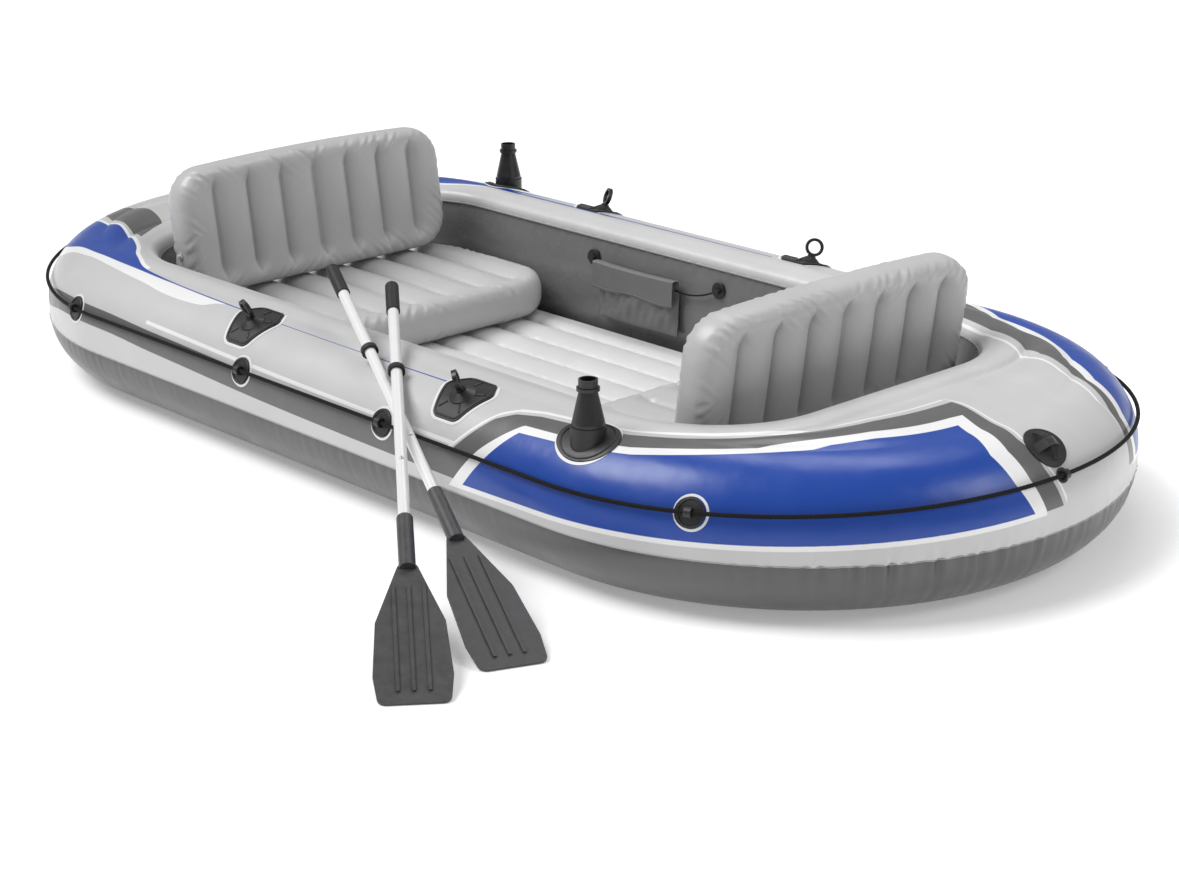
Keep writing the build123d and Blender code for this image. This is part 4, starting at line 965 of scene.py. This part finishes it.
# the bag: back face flat against the wall, front face bellied and sagging to its foot
pouchX = pouchSizes["middleX"] + u * pouchSizes["width"] / 2 * (1 - 0.03 * v**2)
pouchZ = pouchSizes["top"] - 0.004 * (1 - u**2) - v * (pouchSizes["top"] - pouchSizes["foot"] - 0.002)
belly = (1 - np.abs(u) ** 5) * np.sin(np.pi * np.clip(v, 0, 1) ** 0.8) ** 0.6
wrinkle = 0.0022 * np.sin(u * 7 + v * 9) + 0.0016 * np.sin(u * 17 - v * 6) + 0.0010 * np.sin(u * 31 + v * 14)
wrinkle = wrinkle * np.sin(np.pi * v)
front = pouchSizes["back"] - 0.0035 - (pouchSizes["thick"] - 0.0055) * belly + wrinkle
frontSheet = np.stack(np.broadcast_arrays(pouchX, front, pouchZ), axis=-1)
back = np.full_like(front, pouchSizes["back"] - 0.0008)
backSheet = np.stack(np.broadcast_arrays(pouchX, back, pouchZ), axis=-1)[:, ::-1]
wrapU = np.concatenate([frontSheet, backSheet], axis=1)
capLeft = np.repeat(wrapU[:1].mean(axis=1, keepdims=True), wrapU.shape[1], axis=1)
capRight = np.repeat(wrapU[-1:].mean(axis=1, keepdims=True), wrapU.shape[1], axis=1)
bag = gridPiece("gearPouchBag", np.concatenate([capLeft, wrapU, capRight]), pouchFilm, "hull",
                closeRows=True, weld=True)
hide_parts("pouch_bag")
# the flap: folded over the bag's mouth, its free edge curling away a little
flapLength = pouchSizes["thick"] + pouchSizes["flapDrop"]
w = np.linspace(0, 1, 60)[None, :]
run = w * flapLength
overTop = np.clip(run / pouchSizes["thick"], 0, 1)
downFront = np.maximum(run - pouchSizes["thick"], 0)
flapCurl = 0.0016 * np.sin(downFront * 30) * (1 + 0.5 * np.sin(u * 9))
flapY = pouchSizes["back"] - pouchSizes["thick"] * np.sin(overTop * np.pi / 2) - 0.0006 - flapCurl
flapWave = 0.004 * np.cos(u * 4.4) * downFront / pouchSizes["flapDrop"]
flapZ = pouchSizes["top"] + 0.0022 * np.sin(overTop * np.pi) - 0.0035 * (1 - u**2) - downFront + flapWave
flapX = pouchSizes["middleX"] + u * pouchSizes["width"] / 2 * (1 - 0.015 * w)
flapPoints = np.stack(np.broadcast_arrays(flapX, flapY, flapZ), axis=-1)
flap = gridPiece("gearPouchFlap", flapPoints, pouchFilm, "hull", facing=(0, -1, 0.4))
thicken = flap.modifiers.new("filmThickness", "SOLIDIFY")
thicken.thickness = 0.0012
thicken.offset = 0.0
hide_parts("pouch_flap")
# the weld along the flap's free edge
hemPath = np.column_stack([flapPoints[:, -4, 0], flapPoints[:, -4, 1] - 0.0009, flapPoints[:, -4, 2]])
tubePiece("gearPouchHem", hemPath, 0.0012, pouchFilm, "hull", around=6)
# strings from the bag's top corners to the eyes on the wall
stringEnds = {
    "stern": ((-0.335, 0.4755, 0.250), (-0.292, 0.462, 0.228)),
    "bow": ((0.125, 0.4755, 0.250), (-0.008, 0.462, 0.228)),
}
for name, (eyeEnd, bagEnd) in stringEnds.items():
    t = np.linspace(0, 1, 40)[:, None]
    span = np.linalg.norm(np.subtract(eyeEnd, bagEnd))
    sag = 0.09 * span * 4 * t * (1 - t)
    line = np.array(eyeEnd) * (1 - t) + np.array(bagEnd) * t - np.array([[0, 0, 1]]) * sag
    tubePiece(f"gearPouchString_{name}", line, pouchSizes["string"] / 2, stringBraid, "hull", around=10)
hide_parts("pouch_cords")
print("pouch made")


# ---- moulded ridges over the carrying straps: arcs through the strap's two feet and its crown
strapSizes = {"tilt": 36.0, "reach": 0.036, "rise": 0.019, "spread": 0.0062, "ridge": 0.0013}
arcRadius = (strapSizes["reach"] ** 2 + strapSizes["rise"] ** 2) / (2 * strapSizes["rise"])
swing = np.linspace(-1, 1, 40) * np.arcsin(strapSizes["reach"] / arcRadius)
lean = np.radians(strapSizes["tilt"])
for name, end in (("bow", 1), ("stern", -1)):
    downWay = np.array([end * np.cos(lean), 0, -np.sin(lean)])
    outWay = np.array([end * np.sin(lean), 0, np.cos(lean)])
    foot = np.array([end * (halfStraight + arcCentre), 0, hullSizes["height"] - shoulder]) + shoulder * outWay
    overFoot = arcRadius * np.cos(swing) - (arcRadius - strapSizes["rise"])
    arch = foot + arcRadius * np.sin(swing)[:, None] * downWay + overFoot[:, None] * outWay
    for index in (-1, 0, 1):
        ridge = arch + np.array([0, index * strapSizes["spread"], 0])
        tubePiece(f"handleRidge_{name}_{index + 1}", ridge, strapSizes["ridge"], patchRubber, "hull",
                  around=8)
print("strap ridges made")


# ---- materials of the CAD nodes that stay
def dress(prefixes, material):
    for name, node in nodes.items():
        if name.startswith(prefixes):
            node.data.materials.clear()
            node.data.materials.append(material)


dress(("hull_", "seat_cushion", "backrest_stern", "backrest_bow"), deckFilm)
dress(("floor_sheet", "floor_beams", "floor_mattress"), floorFilm)
dress(("oarlock_", "rod_holder_", "main_valve", "inner_valve", "floor_valve"), blackMould)
dress(("oarlock_base", "rod_holder_base", "rope_grommets", "rope_anchor", "handle_patch", "pouch_grommets"),
      patchRubber)
dress(("handle_strap",), strapWeave)
dress(("grab_rope", "pouch_cords"), ropeBraid)
dress(("pouch_bag", "pouch_flap"), pouchFilm)
dress(("seat_valve", "backrest_valve"), clearFilm)
for oarName in ("front", "rear"):
    dress((f"oar_{oarName}_blade",), bladePlastic)
    dress((f"oar_{oarName}_lower_shaft", f"oar_{oarName}_upper_shaft"), shaftPaint)
    dress((f"oar_{oarName}_grip", f"oar_{oarName}_collar"), gripRubber)
    dress((f"oar_{oarName}_button",), buttonSteel)
print("nodes dressed")


# ---- studio
studio = {"floorTone": (0.93, 0.93, 0.93), "floorGlow": 0.26, "worldTone": (1.0, 1.0, 1.0), "worldStrength": 0.30,
          "sunPower": 2.35, "sunAngle": 0.60}
backdropMaterial, tree, shader = startMaterial("studioPaper", 0.9, specular=0.2)
place = addNode(tree, "ShaderNodeTexCoord").outputs["Object"]
paperTone = ramp(tree, noise(tree, place, 3.0), 0.2, 0.8, 0.99, 1.01)
feed(tree, shader.inputs["Base Color"], scaleColour(tree, (*studio["floorTone"], 1), paperTone))
shader.inputs["Emission Color"].default_value = (1.0, 1.0, 1.0, 1.0)
shader.inputs["Emission Strength"].default_value = studio["floorGlow"]
paperMesh = bpy.data.meshes.new("studioFloor")
paperMesh.from_pydata([(-40, -40, 0), (40, -40, 0), (40, 40, 0), (-40, 40, 0)], [], [(0, 1, 2, 3)])
paper = bpy.data.objects.new("studioFloor", paperMesh)
bpy.context.scene.collection.objects.link(paper)
paper.data.materials.append(backdropMaterial)
paper.location.z = -0.0006

world = bpy.context.scene.world or bpy.data.worlds.new("studio")
bpy.context.scene.world = world
world.use_nodes = True
background = next(n for n in world.node_tree.nodes if n.type == "BACKGROUND")
background.inputs["Color"].default_value = (*studio["worldTone"], 1)
background.inputs["Strength"].default_value = studio["worldStrength"]


def softLight(name, place, aim, size, power):
    lamp = bpy.data.lights.new(name, "AREA")
    lamp.shape = "RECTANGLE"
    lamp.size, lamp.size_y = size
    lamp.energy = power
    holder = bpy.data.objects.new(name, lamp)
    bpy.context.scene.collection.objects.link(holder)
    holder.location = place
    holder.rotation_euler = (Vector(aim) - Vector(place)).to_track_quat("-Z", "Y").to_euler()


sun = bpy.data.lights.new("keySun", "SUN")
sun.energy = studio["sunPower"]
sun.angle = studio["sunAngle"]
sunHolder = bpy.data.objects.new("keySun", sun)
bpy.context.scene.collection.objects.link(sunHolder)
sunHolder.rotation_euler = (Vector((0, 0, 0)) - Vector((-1.5, -1.5, 3.0))).to_track_quat("-Z", "Y").to_euler()
softLight("topLight", (0.2, 1.0, 3.0), (0.1, 0, 0.2), (2.2, 1.2), 26)
softLight("bowLight", (3.6, 1.0, 2.2), (0.9, 0, 0.2), (1.2, 1.2), 22)

view = {
    "aim": (0.612, -0.431, 0.2), "distance": 5.468, "azimuth": 47.385, "elevation": 18.985, "roll": -0.408,
    "lens": 77.4, "shiftX": 0.0054,
}
turn, rise, tip = (np.radians(view[k]) for k in ("azimuth", "elevation", "roll"))
backWay = Vector((np.cos(rise) * np.sin(turn), -np.cos(rise) * np.cos(turn), np.sin(rise)))
rightWay = Vector((np.cos(turn), np.sin(turn), 0))
upWay = backWay.cross(rightWay)
rightWay, upWay = rightWay * np.cos(tip) + upWay * np.sin(tip), upWay * np.cos(tip) - rightWay * np.sin(tip)
cameraData = bpy.data.cameras.new("studioCamera")
cameraData.lens = view["lens"]
cameraData.sensor_width = 36.0
cameraData.shift_x = view["shiftX"]
camera = bpy.data.objects.new("studioCamera", cameraData)
bpy.context.scene.collection.objects.link(camera)
stand = Matrix((rightWay, upWay, backWay)).transposed().to_4x4()
stand.translation = Vector(view["aim"]) + backWay * view["distance"]
camera.matrix_world = stand
bpy.context.scene.camera = camera
bpy.context.scene.view_settings.view_transform = "Standard"
print("studio and camera set")
